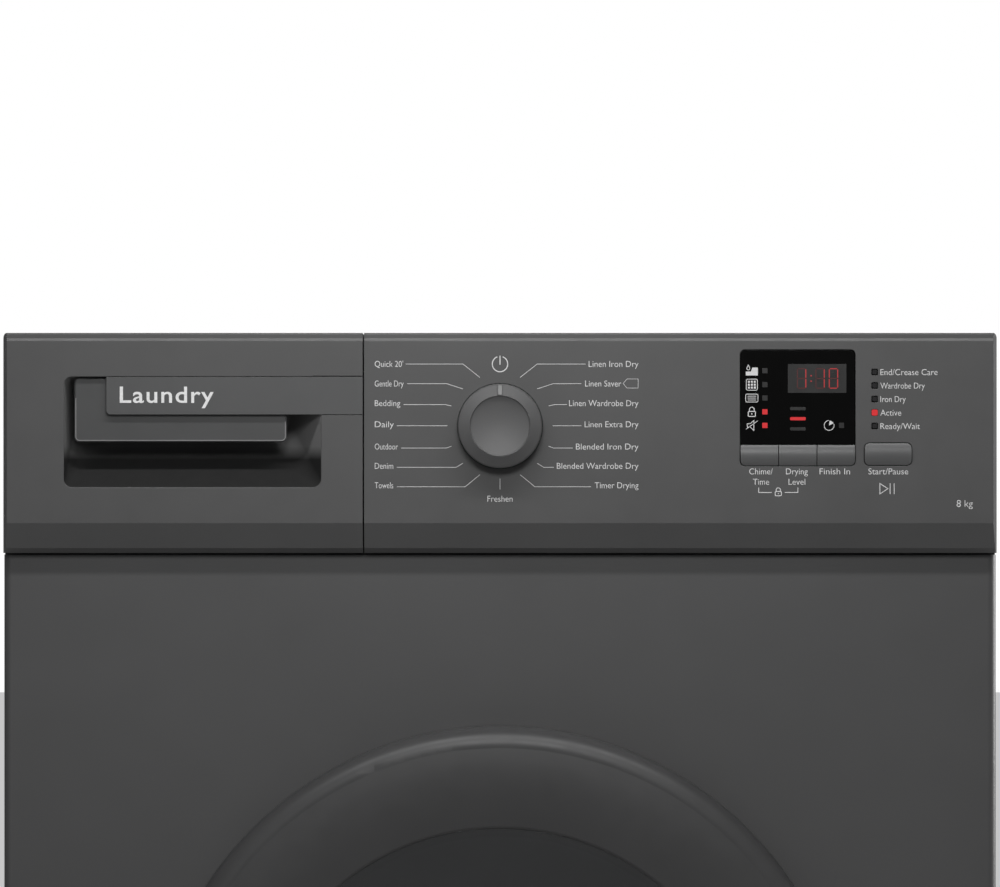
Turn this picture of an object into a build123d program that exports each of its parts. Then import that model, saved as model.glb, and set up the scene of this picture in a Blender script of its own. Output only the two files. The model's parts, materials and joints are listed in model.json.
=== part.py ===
from build123d import *

import os
from math import cos, hypot, radians, sin

# Free-standing condenser clothes dryer, as an assembly of separate pieces.
# X runs to the right, Y to the rear and Z up, in millimetres. The origin is on the floor
# under the middle of the machine, and the machine faces -Y.

os.makedirs("parts", exist_ok=True)

# ---------------------------------------------------------------- driving dimensions
WIDTH = 595.0
DEPTH = 610.0
HEIGHT = 850.0
SHEET = 1.0  # steel sheet of the cabinet
WALL = 2.5  # moulded plastic
RUNNING = 0.05  # radial clearance of a shaft in its bearing
SHUT_LINE = 0.4  # gap around a button, the knob and the display
SEATED = 0.02  # radial clearance of a piece that is pressed onto a shaft

HALF = WIDTH / 2
KNOB_FRONT = -DEPTH / 2  # the foremost point of the machine
FASCIA_Y = KNOB_FRONT + 17  # face of the control panel
FRONT_Y = KNOB_FRONT + 33  # face of the steel front panel
FRONT_BACK = FRONT_Y + 10
FASCIA_BACK = FRONT_BACK
WORKTOP_FRONT = FRONT_Y + 5
COVER_Y = DEPTH / 2  # rearmost point, on the duct cover
REAR_Y = COVER_Y - 14  # outer face of the rear panel

SIDE_BOTTOM = 15.0
FASCIA_Z = HEIGHT - 131.5
CREASE_Z = FASCIA_Z + 18.0  # above the angled lower band of the control panel
FRONT_TOP = FASCIA_Z - 1.2
WORKTOP_TOP = HEIGHT - 0.5
WORKTOP_BOTTOM = WORKTOP_TOP - 15

# control panel
SEAM_X = -81.5
SEAM_GAP = 0.8
KNOB_Z = 794.4
KNOB_R = 25.1
DISH_R = 17.4
STEM_R = 3.0
DISPLAY_X = 177.6
DISPLAY_WIDTH = 68.2
DISPLAY_BOTTOM, DISPLAY_TOP = 783.5, 839.7
BUTTON_BOTTOM = 770.8
START_X, START_Z = 231.5, 777.6
START_WIDTH, START_HEIGHT = 28.0, 13.1
LAMP_X = 223.5
LAMP_HEIGHTS = [826.6 - 8.05 * n for n in range(5)]
BOARD_Y = FASCIA_Y + 22  # front face of the circuit board

# water tank
POCKET_X = (-260.2, -106.6)
POCKET_Z = (757.7, 824.0)
POCKET_BACK = FASCIA_Y + 36
STRIP_LEFT, STRIP_BOTTOM = -234.8, 801.3
GRIP_X = (-254.2, -127.2)
GRIP_BOTTOM = 784.9
GRIP_Y = FASCIA_Y + 3
TANK_X = (-282.0, -95.0)
TANK_Y = (-248.0, 205.0)
TANK_Z = (739.0, 831.0)
TRAY_FLOOR = TANK_Z[0] - 0.5

# drum
DRUM_Z = 405.0
DRUM_R = 284.0
DRUM_WALL = 0.8
DRUM_Y = (-215.0, 215.0)
DRUM_MOUTH_R = 232.0
LIFTER_HEIGHT = 45.0
SHAFT_R = 12.5

# front bulkhead, mouth and lint filter
BULKHEAD_Y = (-232.0, -226.0)
MOUTH_R = 172.0
COLLAR_R = MOUTH_R + 4
HUB_R = 228.0
HUB_BACK = -208.0
COLLAR_FRONT = FRONT_Y + 6
FILTER_X = 95.0
FILTER_Y = (-261.0, -248.0)
FILTER_BOTTOM = 119.0

# door
DOOR_R = 210.0
DOOR_BACK = FRONT_Y - 3
DOOR_FRONT = DOOR_BACK - 25
WINDOW_R = 150.0
PLUG_R = 165.0
PLUG_BACK = FRONT_Y + 8
HINGE_X, HINGE_Y = -216.0, FRONT_Y - 12
HINGE_REACH = 41.0  # half height of the hinge barrel
HINGE_PIN_R = 2.5
LATCH_X, LATCH_Z = 182.0, DRUM_Z - 70
GRIP_HALF = 42.0  # half height of the door's finger recess
GRIP_X_INNER = 190.0

# condenser and service flap
CONDENSER_X = (-268.0, -132.0)
CONDENSER_Y = (-262.0, 95.0)
CONDENSER_Z = (36.0, 146.0)
FLAP_X = (-270.0, -64.0)
FLAP_Z = (40.5, 151.5)
FLAP_AXIS = (FRONT_Y + 4, 44.0)
LEVERS_X = {"left": -245.0, "right": -155.0}
LEVER_Z = 91.0

# drive
MOTOR = (190.0, 95.0)
MOTOR_R = 52.0
MOTOR_SHAFT_R = 7.0
PULLEY_R = 9.0
IDLER = (90.0, 88.0)
IDLER_R = 18.0
BELT_Y = (85.5, 94.5)
BELT_THICKNESS = 2.5
BELT_PLAY = 0.3
ROLLER_R = 26.0
ROLLER_Y = (-205.0, -191.0)
ROLLER_REACH = DRUM_R + ROLLER_R + 0.3
ROLLERS = {
    side: (sign * ROLLER_REACH * sin(radians(45)), DRUM_Z - ROLLER_REACH * cos(radians(45)))
    for side, sign in (("left", -1), ("right", 1))
}

BASE_HALF = HALF - 15.5
BASE_Y = (FRONT_BACK + 0.5, REAR_Y - 3)
BASE_FLOOR = 19.0
BASE_RIM = 74.0
DRUM_AXIS = Axis((0, 0, DRUM_Z), (0, 1, 0))


# ---------------------------------------------------------------- shared helpers
def across(y):
    """Plane at depth y that faces the front, with the machine's X and Z as its axes."""
    return Plane.XZ.offset(-y)


def lengthwise(x):
    """Plane at x that faces right, with the machine's Y and Z as its axes."""
    return Plane.YZ.offset(x)


def block(x, y, z, mode=Mode.ADD):
    """Box between the pairs x, y and z, joined to the part under construction."""
    with Locations((sum(x) / 2, sum(y) / 2, sum(z) / 2)):
        Box(x[1] - x[0], y[1] - y[0], z[1] - z[0], mode=mode)


def disc(place, radius, y, mode=Mode.ADD):
    """Cylinder along Y at place (x, z), joined to the part under construction."""
    with Locations((place[0], sum(y) / 2, place[1])):
        Cylinder(radius, y[1] - y[0], rotation=(90, 0, 0), mode=mode)


def write(piece, name):
    """Labels a finished piece and writes its STEP file."""
    piece.part.label = name
    export_step(piece.part, f"parts/{name}.step")


# ---------------------------------------------------------------- cabinet
SIDE_Y = (FRONT_BACK + 0.5, REAR_Y - SHEET)
SIDE_Z = (SIDE_BOTTOM, WORKTOP_BOTTOM - 0.5)
FLANGE = 14.0
PRESSING = 2.0
PRESSING_BORDER = 58.0


def side_panel(side):
    """Steel side with returned flanges and a large pressed field that stiffens it."""
    outer = side * HALF
    inner = side * (HALF - SHEET)
    lip = side * (HALF - FLANGE)
    centre_y, centre_z = sum(SIDE_Y) / 2, sum(SIDE_Z) / 2
    field_length = SIDE_Y[1] - SIDE_Y[0] - 2 * PRESSING_BORDER
    field_height = SIDE_Z[1] - SIDE_Z[0] - 2 * PRESSING_BORDER
    inwards = Vector(-side, 0, 0)
    with BuildPart() as panel:
        block(sorted((outer, lip)), SIDE_Y, SIDE_Z)
        block(
            sorted((inner, lip - side)),
            (SIDE_Y[0] + SHEET, SIDE_Y[1] - SHEET),
            (SIDE_Z[0] + SHEET, SIDE_Z[1] - SHEET),
            Mode.SUBTRACT,
        )
        with BuildSketch(Plane((inner, centre_y, centre_z), (0, 1, 0), inwards)):
            RectangleRounded(field_length, field_height, 40)
        extrude(amount=PRESSING, taper=45)
        with BuildSketch(Plane((outer, centre_y, centre_z), (0, 1, 0), inwards)):
            RectangleRounded(field_length - 1, field_height - 1, 39.5)
        extrude(amount=PRESSING, taper=45, mode=Mode.SUBTRACT)
    return panel


write(side_panel(-1), "left_side_panel")
write(side_panel(1), "right_side_panel")

with BuildPart() as worktop:
    block((-HALF, HALF), (WORKTOP_FRONT, REAR_Y + 2), (WORKTOP_BOTTOM, WORKTOP_TOP))
    fillet(worktop.edges().filter_by(Axis.Z).group_by(Axis.Y)[-1], radius=8)
    chamfer(worktop.faces().sort_by(Axis.Z)[-1].edges(), length=1.2)
write(worktop, "worktop")

with BuildPart() as front_panel:
    for inset, radius, mode in ((0, 5, Mode.ADD), (SHEET, 4, Mode.SUBTRACT)):
        front, back = FRONT_Y + inset, FRONT_BACK + inset
        bottom, top = SIDE_BOTTOM + 1 + inset, FRONT_TOP - inset
        with BuildSketch(Plane.XY.offset(bottom)) as plan:
            with Locations((0, (front + back) / 2)):
                Rectangle(WIDTH - 2 * inset, back - front)
            fillet(plan.vertices().group_by(Axis.Y)[0], radius=radius)
        extrude(amount=top - bottom, mode=mode)
    with BuildSketch(across(FRONT_Y + 2)):
        with Locations((0, DRUM_Z)):
            Circle(COLLAR_R)
        with Locations((sum(FLAP_X) / 2, sum(FLAP_Z) / 2 - 0.5)):
            RectangleRounded(FLAP_X[1] - FLAP_X[0] + 3, FLAP_Z[1] - FLAP_Z[0] + 5, 3)
        with Locations((LATCH_X, LATCH_Z)):
            RectangleRounded(15, 30, 3)
    extrude(amount=4, mode=Mode.SUBTRACT)
write(front_panel, "front_panel")

# rear panel with its cooling grille, cable hole and warm air opening
REAR_SCREWS = [(side * (HALF - 7.5), z) for side in (-1, 1) for z in (40, 235, 430, 625, 815)]
GLAND = (-230.0, 110.0)
GLAND_R = 8.0
CABLE_R = 3.5
with BuildPart() as rear_panel:
    block((-HALF + 1.5, HALF - 1.5), (REAR_Y - SHEET, REAR_Y), (SIDE_BOTTOM + 3, SIDE_Z[1]))
    with BuildSketch(across(REAR_Y + 1)):
        with Locations(*REAR_SCREWS):
            Circle(2.2)
        with Locations(MOTOR):
            with GridLocations(46, 11, 2, 9):
                SlotOverall(40, 5)
        with Locations(GLAND):
            Circle(GLAND_R + 0.2)
        with Locations((0, DRUM_Z)):
            Circle(150)
    extrude(amount=5, mode=Mode.SUBTRACT)
write(rear_panel, "rear_panel")

# pressed cover over the warm air duct: a round dish with a channel that leads down
COVER_R = 188.0
CHANNEL = (40.0, DRUM_Z - 150)
CHANNEL_SIZE = 190.0
RIM = 15.0
with BuildPart() as rear_duct_cover:
    with BuildSketch(across(COVER_Y)):
        with Locations((0, DRUM_Z)):
            Circle(COVER_R)
        with Locations(CHANNEL):
            RectangleRounded(CHANNEL_SIZE, CHANNEL_SIZE, 24)
    extrude(amount=COVER_Y - REAR_Y)
    fillet(rear_duct_cover.faces().sort_by(Axis.Y)[-1].edges(), radius=5)
    offset(amount=-SHEET, openings=rear_duct_cover.faces().sort_by(Axis.Y)[0])
    with BuildSketch(across(REAR_Y + SHEET)):
        with Locations((0, DRUM_Z)):
            Circle(COVER_R + RIM)
        with Locations(CHANNEL):
            RectangleRounded(CHANNEL_SIZE + 2 * RIM, CHANNEL_SIZE + 2 * RIM, 30)
        with Locations((0, DRUM_Z)):
            Circle(COVER_R - 1, mode=Mode.SUBTRACT)
        with Locations(CHANNEL):
            RectangleRounded(CHANNEL_SIZE - 2, CHANNEL_SIZE - 2, 23, mode=Mode.SUBTRACT)
    extrude(amount=SHEET)
    with BuildSketch(across(COVER_Y + 1)):
        with Locations((0, DRUM_Z)):
            with PolarLocations(120, 16):
                SlotOverall(60, 5)
    extrude(amount=4, mode=Mode.SUBTRACT)
write(rear_duct_cover, "rear_duct_cover")

COVER_SCREWS = [
    ((COVER_R + 8) * cos(radians(angle)), DRUM_Z + (COVER_R + 8) * sin(radians(angle)))
    for angle in range(0, 226, 45)
]
COVER_SCREWS += [(CHANNEL[0] + side * 70, CHANNEL[1] - CHANNEL_SIZE / 2 - 8) for side in (-1, 1)]
with BuildPart() as cabinet_screws:
    for place in REAR_SCREWS:
        disc(place, 2, (REAR_Y - SHEET, REAR_Y))
        disc(place, 4.2, (REAR_Y, REAR_Y + 2.4))
    for place in COVER_SCREWS:
        disc(place, 4.2, (REAR_Y + SHEET, REAR_Y + SHEET + 2.4))
    for height in (2.4, 2.4 + SHEET):
        flat_faces = cabinet_screws.faces().filter_by(Axis.Y)
        rims = [f for f in flat_faces if abs(f.center().Y - REAR_Y - height) < 0.01]
        fillet([e for f in rims for e in f.edges()], radius=1)
    with BuildSketch(across(REAR_Y + 2 * SHEET + 2)):
        with Locations(*REAR_SCREWS, *COVER_SCREWS):
            Rectangle(4.6, 0.9)
            Rectangle(0.9, 4.6)
    extrude(amount=2.4, mode=Mode.SUBTRACT)
write(cabinet_screws, "cabinet_screws")

with BuildPart() as cable_gland:
    disc(GLAND, GLAND_R, (REAR_Y - 8, REAR_Y))
    disc(GLAND, GLAND_R + 4, (REAR_Y, REAR_Y + 3))
    chamfer(cable_gland.faces().sort_by(Axis.Y)[-1].edges(), length=1)
    disc(GLAND, CABLE_R, (REAR_Y - 9, REAR_Y + 4), Mode.SUBTRACT)
write(cable_gland, "cable_gland")

# ---------------------------------------------------------------- base and feet
FEET = [(x, y) for x in (-235, 235) for y in (-225, 235)]
FOOT_STEM_R = 5.0
with BuildPart() as base_tray:
    block((-BASE_HALF, BASE_HALF), BASE_Y, (SIDE_BOTTOM + SHEET, BASE_RIM))
    block(
        (-BASE_HALF + 3, BASE_HALF - 3),
        (BASE_Y[0] + 3, BASE_Y[1] - 3),
        (BASE_FLOOR, BASE_RIM + 1),
        Mode.SUBTRACT,
    )
    # ledges that lie on the side panels' bottom flanges
    block((-HALF + 1.5, HALF - 1.5), (BASE_Y[0] + 2, BASE_Y[1] - 1), (SIDE_BOTTOM + SHEET, BASE_FLOOR))
    # way in for the condenser, and the two runners under it
    block(
        (CONDENSER_X[0] - 3, CONDENSER_X[1] + 3),
        (BASE_Y[0] - 1, BASE_Y[0] + 4),
        (CONDENSER_Z[0] - 3, BASE_RIM + 1),
        Mode.SUBTRACT,
    )
    for x in (CONDENSER_X[0] + 12, CONDENSER_X[1] - 12):
        block((x - 4, x + 4), (BASE_Y[0] + 2, CONDENSER_Y[1] - 3), (BASE_FLOOR - 1, CONDENSER_Z[0]))
    # saddles under the motor
    for y in (-52, 40):
        block((MOTOR[0] - 38, MOTOR[0] + 38), (y, y + 10), (BASE_FLOOR - 1, MOTOR[1] - 22))
        disc(MOTOR, MOTOR_R + RUNNING, (y - 1, y + 11), Mode.SUBTRACT)
    # cross ribs of the floor
    for y in (-100, 125, 200):
        block((CONDENSER_X[1] + 15, BASE_HALF - 2), (y, y + 3), (BASE_FLOOR - 1, BASE_FLOOR + 8))
    # lugs that carry the service flap
    for x in (FLAP_X[0] - 6.5, FLAP_X[1] + 3.5):
        block((x, x + 3), (FRONT_Y + 1.6, BASE_Y[0] + 1), (FLAP_AXIS[1] - 5, FLAP_AXIS[1] + 5))
    with BuildSketch(lengthwise(FLAP_X[0] - 8)):
        with Locations(FLAP_AXIS):
            Circle(HINGE_PIN_R + RUNNING)
    extrude(amount=FLAP_X[1] - FLAP_X[0] + 16, mode=Mode.SUBTRACT)
    with BuildSketch(Plane.XY.offset(SIDE_BOTTOM)):
        with Locations(*FEET):
            Circle(FOOT_STEM_R + 0.1)
    extrude(amount=6, mode=Mode.SUBTRACT)
write(base_tray, "base_tray")

with BuildPart() as levelling_feet:
    with BuildSketch():
        with Locations(*FEET):
            Circle(21)
    extrude(amount=8)
    chamfer(levelling_feet.faces().group_by(Axis.Z)[-1].edges(), length=2.5)
    with BuildSketch(Plane.XY.offset(8)):
        with Locations(*FEET):
            RegularPolygon(9, 6)
    extrude(amount=SIDE_BOTTOM + SHEET - 8)
    with BuildSketch(Plane.XY.offset(SIDE_BOTTOM + SHEET)):
        with Locations(*FEET):
            Circle(FOOT_STEM_R)
    extrude(amount=12)
write(levelling_feet, "levelling_feet")

with BuildPart() as front_traverse:
    block((-HALF + 1.5, HALF - 1.5), (SIDE_Y[0] + SHEET, BULKHEAD_Y[1]), (717, TRAY_FLOOR - 2))
    block(
        (-HALF, HALF),
        (SIDE_Y[0] + SHEET + 1.5, BULKHEAD_Y[1] + 1),
        (718.5, TRAY_FLOOR - 3.5),
        Mode.SUBTRACT,
    )
write(front_traverse, "front_traverse")


# ---------------------------------------------------------------- control panel mouldings
END_BEVEL = (3.2, 14.0)  # of the machine's outer ends: across and back
TOP_CORNER_R = 3.0


def panel_moulding(seam, side, inset, back):
    """Solid with the control panel's side section: narrow top band, flat face, angled band.

    It runs from x seam to the machine's side, which is -1 for left and 1 for right.
    """
    face = FASCIA_Y + inset
    top, bottom = HEIGHT - inset, FASCIA_Z + inset
    end = side * (HALF - inset)
    corner = side * TOP_CORNER_R
    halfway = 1 - sin(radians(45))
    with BuildPart() as body:
        with BuildSketch(lengthwise(seam)):
            with BuildLine():
                Polyline((back, bottom), (back, top), (face + 1.8, top))
                TangentArc((face + 1.8, top), (face + 0.8, top - 1), tangent=(-1, 0))
                Polyline(
                    (face + 0.8, top - 1),
                    (face + 0.8, top - 3.2),
                    (face, top - 4.8),
                    (face, CREASE_Z),
                    (face + 6.3, FASCIA_Z + 3),
                    (face + 10, bottom),
                    (back, bottom),
                )
            make_face()
        extrude(amount=end - seam)
        # in plan the outer end is bevelled
        with BuildSketch(Plane.XY.offset(bottom - 1)):
            with BuildLine():
                Polyline(
                    (seam, back),
                    (seam, face),
                    (end - side * END_BEVEL[0], face),
                    (end, face + END_BEVEL[1]),
                    (end, back),
                    (seam, back),
                )
            make_face()
        extrude(amount=top - bottom + 2, mode=Mode.INTERSECT)
        # in front view its top corner is rounded
        with BuildSketch(across(back + 1)):
            with BuildLine():
                Polyline((end, top - TOP_CORNER_R), (end, bottom - 1), (seam, bottom - 1), (seam, top))
                Line((seam, top), (end - corner, top))
                ThreePointArc(
                    (end - corner, top),
                    (end - corner * halfway, top - TOP_CORNER_R * halfway),
                    (end, top - TOP_CORNER_R),
                )
            make_face()
        extrude(amount=back - face + 2, mode=Mode.INTERSECT)
    return body.part


def panel_shell(seam, side):
    """Outer and inner solids of one open-backed moulding of the control panel."""
    outer = panel_moulding(seam, side, 0, FASCIA_BACK)
    inner = panel_moulding(seam + side * WALL, side, WALL, FASCIA_BACK + 5)
    return outer, inner


# the mouldings step down in front of the worktop
WORKTOP_NOTCH = (
    (-HALF - 1, HALF + 1),
    (WORKTOP_FRONT - 1, FASCIA_BACK + 1),
    (WORKTOP_BOTTOM - 0.5, HEIGHT + 1),
)

fascia_outer, fascia_inner = panel_shell(SEAM_X + SEAM_GAP / 2, 1)
with BuildPart() as control_fascia:
    add(fascia_outer)
    add(fascia_inner, mode=Mode.SUBTRACT)
    block(*WORKTOP_NOTCH, Mode.SUBTRACT)
    with BuildSketch(across(FASCIA_Y + 5)):
        with Locations((0, KNOB_Z)):
            Circle(KNOB_R + SHUT_LINE)
        with Locations((DISPLAY_X, (DISPLAY_TOP + BUTTON_BOTTOM) / 2)):
            RectangleRounded(
                DISPLAY_WIDTH + 2 * SHUT_LINE, DISPLAY_TOP - BUTTON_BOTTOM + 2 * SHUT_LINE, 3.2
            )
        with Locations((START_X, START_Z)):
            RectangleRounded(START_WIDTH + 2 * SHUT_LINE, START_HEIGHT + 2 * SHUT_LINE, 3.4)
        with Locations(*[(LAMP_X, z) for z in LAMP_HEIGHTS]):
            RectangleRounded(3.9, 3.9, 0.8)
    extrude(amount=7, mode=Mode.SUBTRACT)
    # posts that carry the circuit board
    for x in (-60, 60, 128, 275):
        for z in (750, 824):
            disc((x, z), 3, (FASCIA_Y + 2, BOARD_Y))
write(control_fascia, "control_fascia")

with BuildPart() as display_window:
    block(
        (DISPLAY_X - DISPLAY_WIDTH / 2, DISPLAY_X + DISPLAY_WIDTH / 2),
        (FASCIA_Y - 0.2, FASCIA_Y + 1.8),
        (DISPLAY_BOTTOM, DISPLAY_TOP),
    )
    fillet(display_window.edges().filter_by(Axis.Y).group_by(Axis.Z)[-1], radius=3)
    chamfer(display_window.faces().sort_by(Axis.Y)[0].edges(), length=0.25)
write(display_window, "display_window")

with BuildPart() as indicator_lenses:
    with BuildSketch(across(BOARD_Y)):
        with Locations(*[(LAMP_X, z) for z in LAMP_HEIGHTS]):
            RectangleRounded(2.8, 2.8, 0.5)
    extrude(amount=BOARD_Y - FASCIA_Y)
    block(
        (LAMP_X - 2, LAMP_X + 2),
        (BOARD_Y - 8, BOARD_Y - 5),
        (LAMP_HEIGHTS[-1] - 3, LAMP_HEIGHTS[0] + 3),
    )
write(indicator_lenses, "indicator_lenses")

# push buttons: a domed cap and a plunger that stops just short of its switch
BUTTON_HEIGHT = DISPLAY_BOTTOM - BUTTON_BOTTOM - SHUT_LINE
BUTTON_PITCH = (DISPLAY_WIDTH + SHUT_LINE) / 3
BUTTON_Z = BUTTON_BOTTOM + BUTTON_HEIGHT / 2
BUTTON_TRAVEL = 1.5
SWITCH_FRONT = BOARD_Y - 1
BUTTON_WIDTH = BUTTON_PITCH - SHUT_LINE
BUTTONS = {
    "buzzer_button": (DISPLAY_X - BUTTON_PITCH, BUTTON_Z, BUTTON_WIDTH, BUTTON_HEIGHT, [(-1, -1)]),
    "dryness_button": (DISPLAY_X, BUTTON_Z, BUTTON_WIDTH, BUTTON_HEIGHT, []),
    "delay_button": (DISPLAY_X + BUTTON_PITCH, BUTTON_Z, BUTTON_WIDTH, BUTTON_HEIGHT, [(1, -1)]),
    "start_button": (START_X, START_Z, START_WIDTH, START_HEIGHT, [(-1, -1), (-1, 1), (1, -1), (1, 1)]),
}


def push_button(x, z, width, height, rounded):
    """Button cap, domed from top to bottom; rounded lists its rounded corners as signs."""
    with BuildPart() as button:
        with BuildSketch(lengthwise(x - width / 2)):
            with BuildLine():
                Polyline(
                    (FASCIA_Y, z + height / 2),
                    (FASCIA_Y + 8, z + height / 2),
                    (FASCIA_Y + 8, z - height / 2),
                    (FASCIA_Y, z - height / 2),
                )
                ThreePointArc((FASCIA_Y, z - height / 2), (FASCIA_Y - 1.6, z), (FASCIA_Y, z + height / 2))
            make_face()
        extrude(amount=width)
        for side, level in rounded:
            corner = button.edges().filter_by(Axis.Y).sort_by_distance(
                (x + side * width / 2, FASCIA_Y + 4, z + level * height / 2)
            )[0]
            fillet(corner, radius=3)
        disc((x, z), 2.5, (FASCIA_Y + 7, SWITCH_FRONT - BUTTON_TRAVEL - 0.5))
    return button


for name, layout in BUTTONS.items():
    write(push_button(*layout), name)

with BuildPart() as control_board:
    block((-72, 286), (BOARD_Y, BOARD_Y + 1.6), (743, 830))
    block(
        (DISPLAY_X - 31, DISPLAY_X + 31),
        (FASCIA_Y + 1.8, BOARD_Y),
        (DISPLAY_BOTTOM + 4, WORKTOP_BOTTOM - 1.5),
    )
    for x, z, _, _, _ in BUTTONS.values():
        block((x - 3, x + 3), (SWITCH_FRONT, BOARD_Y), (z - 3, z + 3))
    # rotary selector, with the socket for the knob's stem
    block((-13, 13), (BOARD_Y - 9, BOARD_Y), (KNOB_Z - 13, KNOB_Z + 13))
    disc((0, KNOB_Z), STEM_R + RUNNING, (BOARD_Y - 10, BOARD_Y - 2), Mode.SUBTRACT)
    # relays, supply and plug-in connectors behind: x, width, z from and to, depth
    for x, width, low, high, deep in (
        (-50, 26, 752, 790, 13),
        (-12, 34, 750, 782, 15),
        (40, 18, 752, 800, 11),
        (80, 18, 752, 800, 11),
        (240, 46, 748, 762, 9),
        (240, 46, 812, 824, 9),
    ):
        block((x - width / 2, x + width / 2), (BOARD_Y + 1.6, BOARD_Y + 1.6 + deep), (low, high))
write(control_board, "control_board")

# programme knob: cone ring, concave dish, hollow skirt and a stem
DISH_DEPTH = 4.5
POINTER_WIDTH = 2.6
RIM_STEP = (0.6, 1.2)  # how wide and how deep the dish steps down inside the cone
POINTER_GAP = 0.5  # width and depth of the slit beside the pointer
with BuildPart() as programme_knob:
    with BuildSketch(lengthwise(0)):
        with BuildLine():
            Line((KNOB_FRONT + DISH_DEPTH, KNOB_Z), (KNOB_FRONT + DISH_DEPTH, KNOB_Z + 0.01))
            ThreePointArc(
                (KNOB_FRONT + DISH_DEPTH, KNOB_Z + 0.01),
                (KNOB_FRONT + RIM_STEP[1] + (DISH_DEPTH - RIM_STEP[1]) * 0.75, KNOB_Z + DISH_R / 2),
                (KNOB_FRONT + RIM_STEP[1], KNOB_Z + DISH_R),
            )
            Polyline(
                (KNOB_FRONT + RIM_STEP[1], KNOB_Z + DISH_R),
                (KNOB_FRONT, KNOB_Z + DISH_R + RIM_STEP[0]),
                (KNOB_FRONT + 5.2, KNOB_Z + KNOB_R - 0.8),
                (KNOB_FRONT + 6.6, KNOB_Z + KNOB_R),
                (FASCIA_Y + 5, KNOB_Z + KNOB_R),
                (FASCIA_Y + 5, KNOB_Z + KNOB_R - 2.4),
                (KNOB_FRONT + 10, KNOB_Z + KNOB_R - 2.4),
                (KNOB_FRONT + 10, KNOB_Z + 6),
                (FASCIA_Y + 8, KNOB_Z + 6),
                (FASCIA_Y + 8, KNOB_Z + STEM_R),
                (BOARD_Y - 3, KNOB_Z + STEM_R),
                (BOARD_Y - 3, KNOB_Z),
                (KNOB_FRONT + DISH_DEPTH, KNOB_Z),
            )
        make_face()
    revolve(axis=Axis((0, 0, KNOB_Z), (0, 1, 0)))
    # bar down the cone that shows the chosen programme, between two slits
    for width, front, back, mode in (
        (POINTER_WIDTH + 2 * POINTER_GAP, -2, POINTER_GAP + 0.2, Mode.SUBTRACT),
        (POINTER_WIDTH, 0, 3, Mode.ADD),
    ):
        with BuildSketch(lengthwise(-width / 2)):
            with BuildLine():
                Polyline(
                    (KNOB_FRONT + front, KNOB_Z + DISH_R + 1.1),
                    (KNOB_FRONT + back, KNOB_Z + DISH_R + 1.1),
                    (KNOB_FRONT + 4.8 + back, KNOB_Z + KNOB_R - 0.8),
                    (KNOB_FRONT + 4.8 + front, KNOB_Z + KNOB_R - 0.8),
                    (KNOB_FRONT + front, KNOB_Z + DISH_R + 1.1),
                )
            make_face()
        extrude(amount=width, mode=mode)
write(programme_knob, "programme_knob")

# ---------------------------------------------------------------- water tank
STRIP_TOP = POCKET_Z[1] - 0.3
tank_outer, tank_inner = panel_shell(SEAM_X - SEAM_GAP / 2, -1)
with BuildPart() as tank_front:
    add(tank_outer)
    add(tank_inner, mode=Mode.SUBTRACT)
    block(*WORKTOP_NOTCH, Mode.SUBTRACT)
    # finger pocket: its floor rises and its right wall closes in towards the back
    for grow, front, back, mode in (
        (2, FASCIA_Y + 1, POCKET_BACK + 2, Mode.ADD),
        (0, FASCIA_Y, POCKET_BACK, Mode.SUBTRACT),
    ):
        mouth_x = (POCKET_X[0] - grow, POCKET_X[1] + grow)
        mouth_z = (POCKET_Z[0] - grow, POCKET_Z[1] + grow)
        end_x = (-256 - grow, -127 + grow)
        end_z = (785 - grow, 822 + grow)
        with BuildSketch(across(front)):
            with Locations((sum(mouth_x) / 2, sum(mouth_z) / 2)):
                RectangleRounded(mouth_x[1] - mouth_x[0], mouth_z[1] - mouth_z[0], 4.8 + grow)
        with BuildSketch(across(back)):
            with Locations((sum(end_x) / 2, sum(end_z) / 2)):
                RectangleRounded(end_x[1] - end_x[0], end_z[1] - end_z[0], 14 + grow)
        loft(mode=mode)
    # shallow seat for the handle strip between the pocket and the seam
    block(
        (POCKET_X[1] - 5, SEAM_X),
        (FASCIA_Y - 1, FASCIA_Y + 1.2),
        (STRIP_BOTTOM - 0.3, POCKET_Z[1] + 0.3),
        Mode.SUBTRACT,
    )
write(tank_front, "tank_front")

with BuildPart() as tank_handle_strip:
    block((STRIP_LEFT, SEAM_X - SEAM_GAP / 2), (FASCIA_Y - 0.3, FASCIA_Y + 1.2), (STRIP_BOTTOM, STRIP_TOP))
    block((STRIP_LEFT, POCKET_X[1] - 12), (FASCIA_Y + 1, GRIP_Y), (STRIP_BOTTOM, STRIP_TOP - 0.5))
    corner = tank_handle_strip.edges().filter_by(Axis.Y).group_by(Axis.X)[0].sort_by(Axis.Z)[0]
    fillet(corner, radius=2.5)
write(tank_handle_strip, "tank_handle_strip")

with BuildPart() as tank_grip_plate:
    with BuildSketch(across(GRIP_Y + 3)):
        with Locations((sum(GRIP_X) / 2, (GRIP_BOTTOM + POCKET_Z[1] - 0.8) / 2)):
            RectangleRounded(GRIP_X[1] - GRIP_X[0], POCKET_Z[1] - 0.8 - GRIP_BOTTOM, 3)
    extrude(amount=3)
    chamfer(tank_grip_plate.faces().sort_by(Axis.Y)[0].edges(), length=0.8)
write(tank_grip_plate, "tank_grip_plate")

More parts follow.
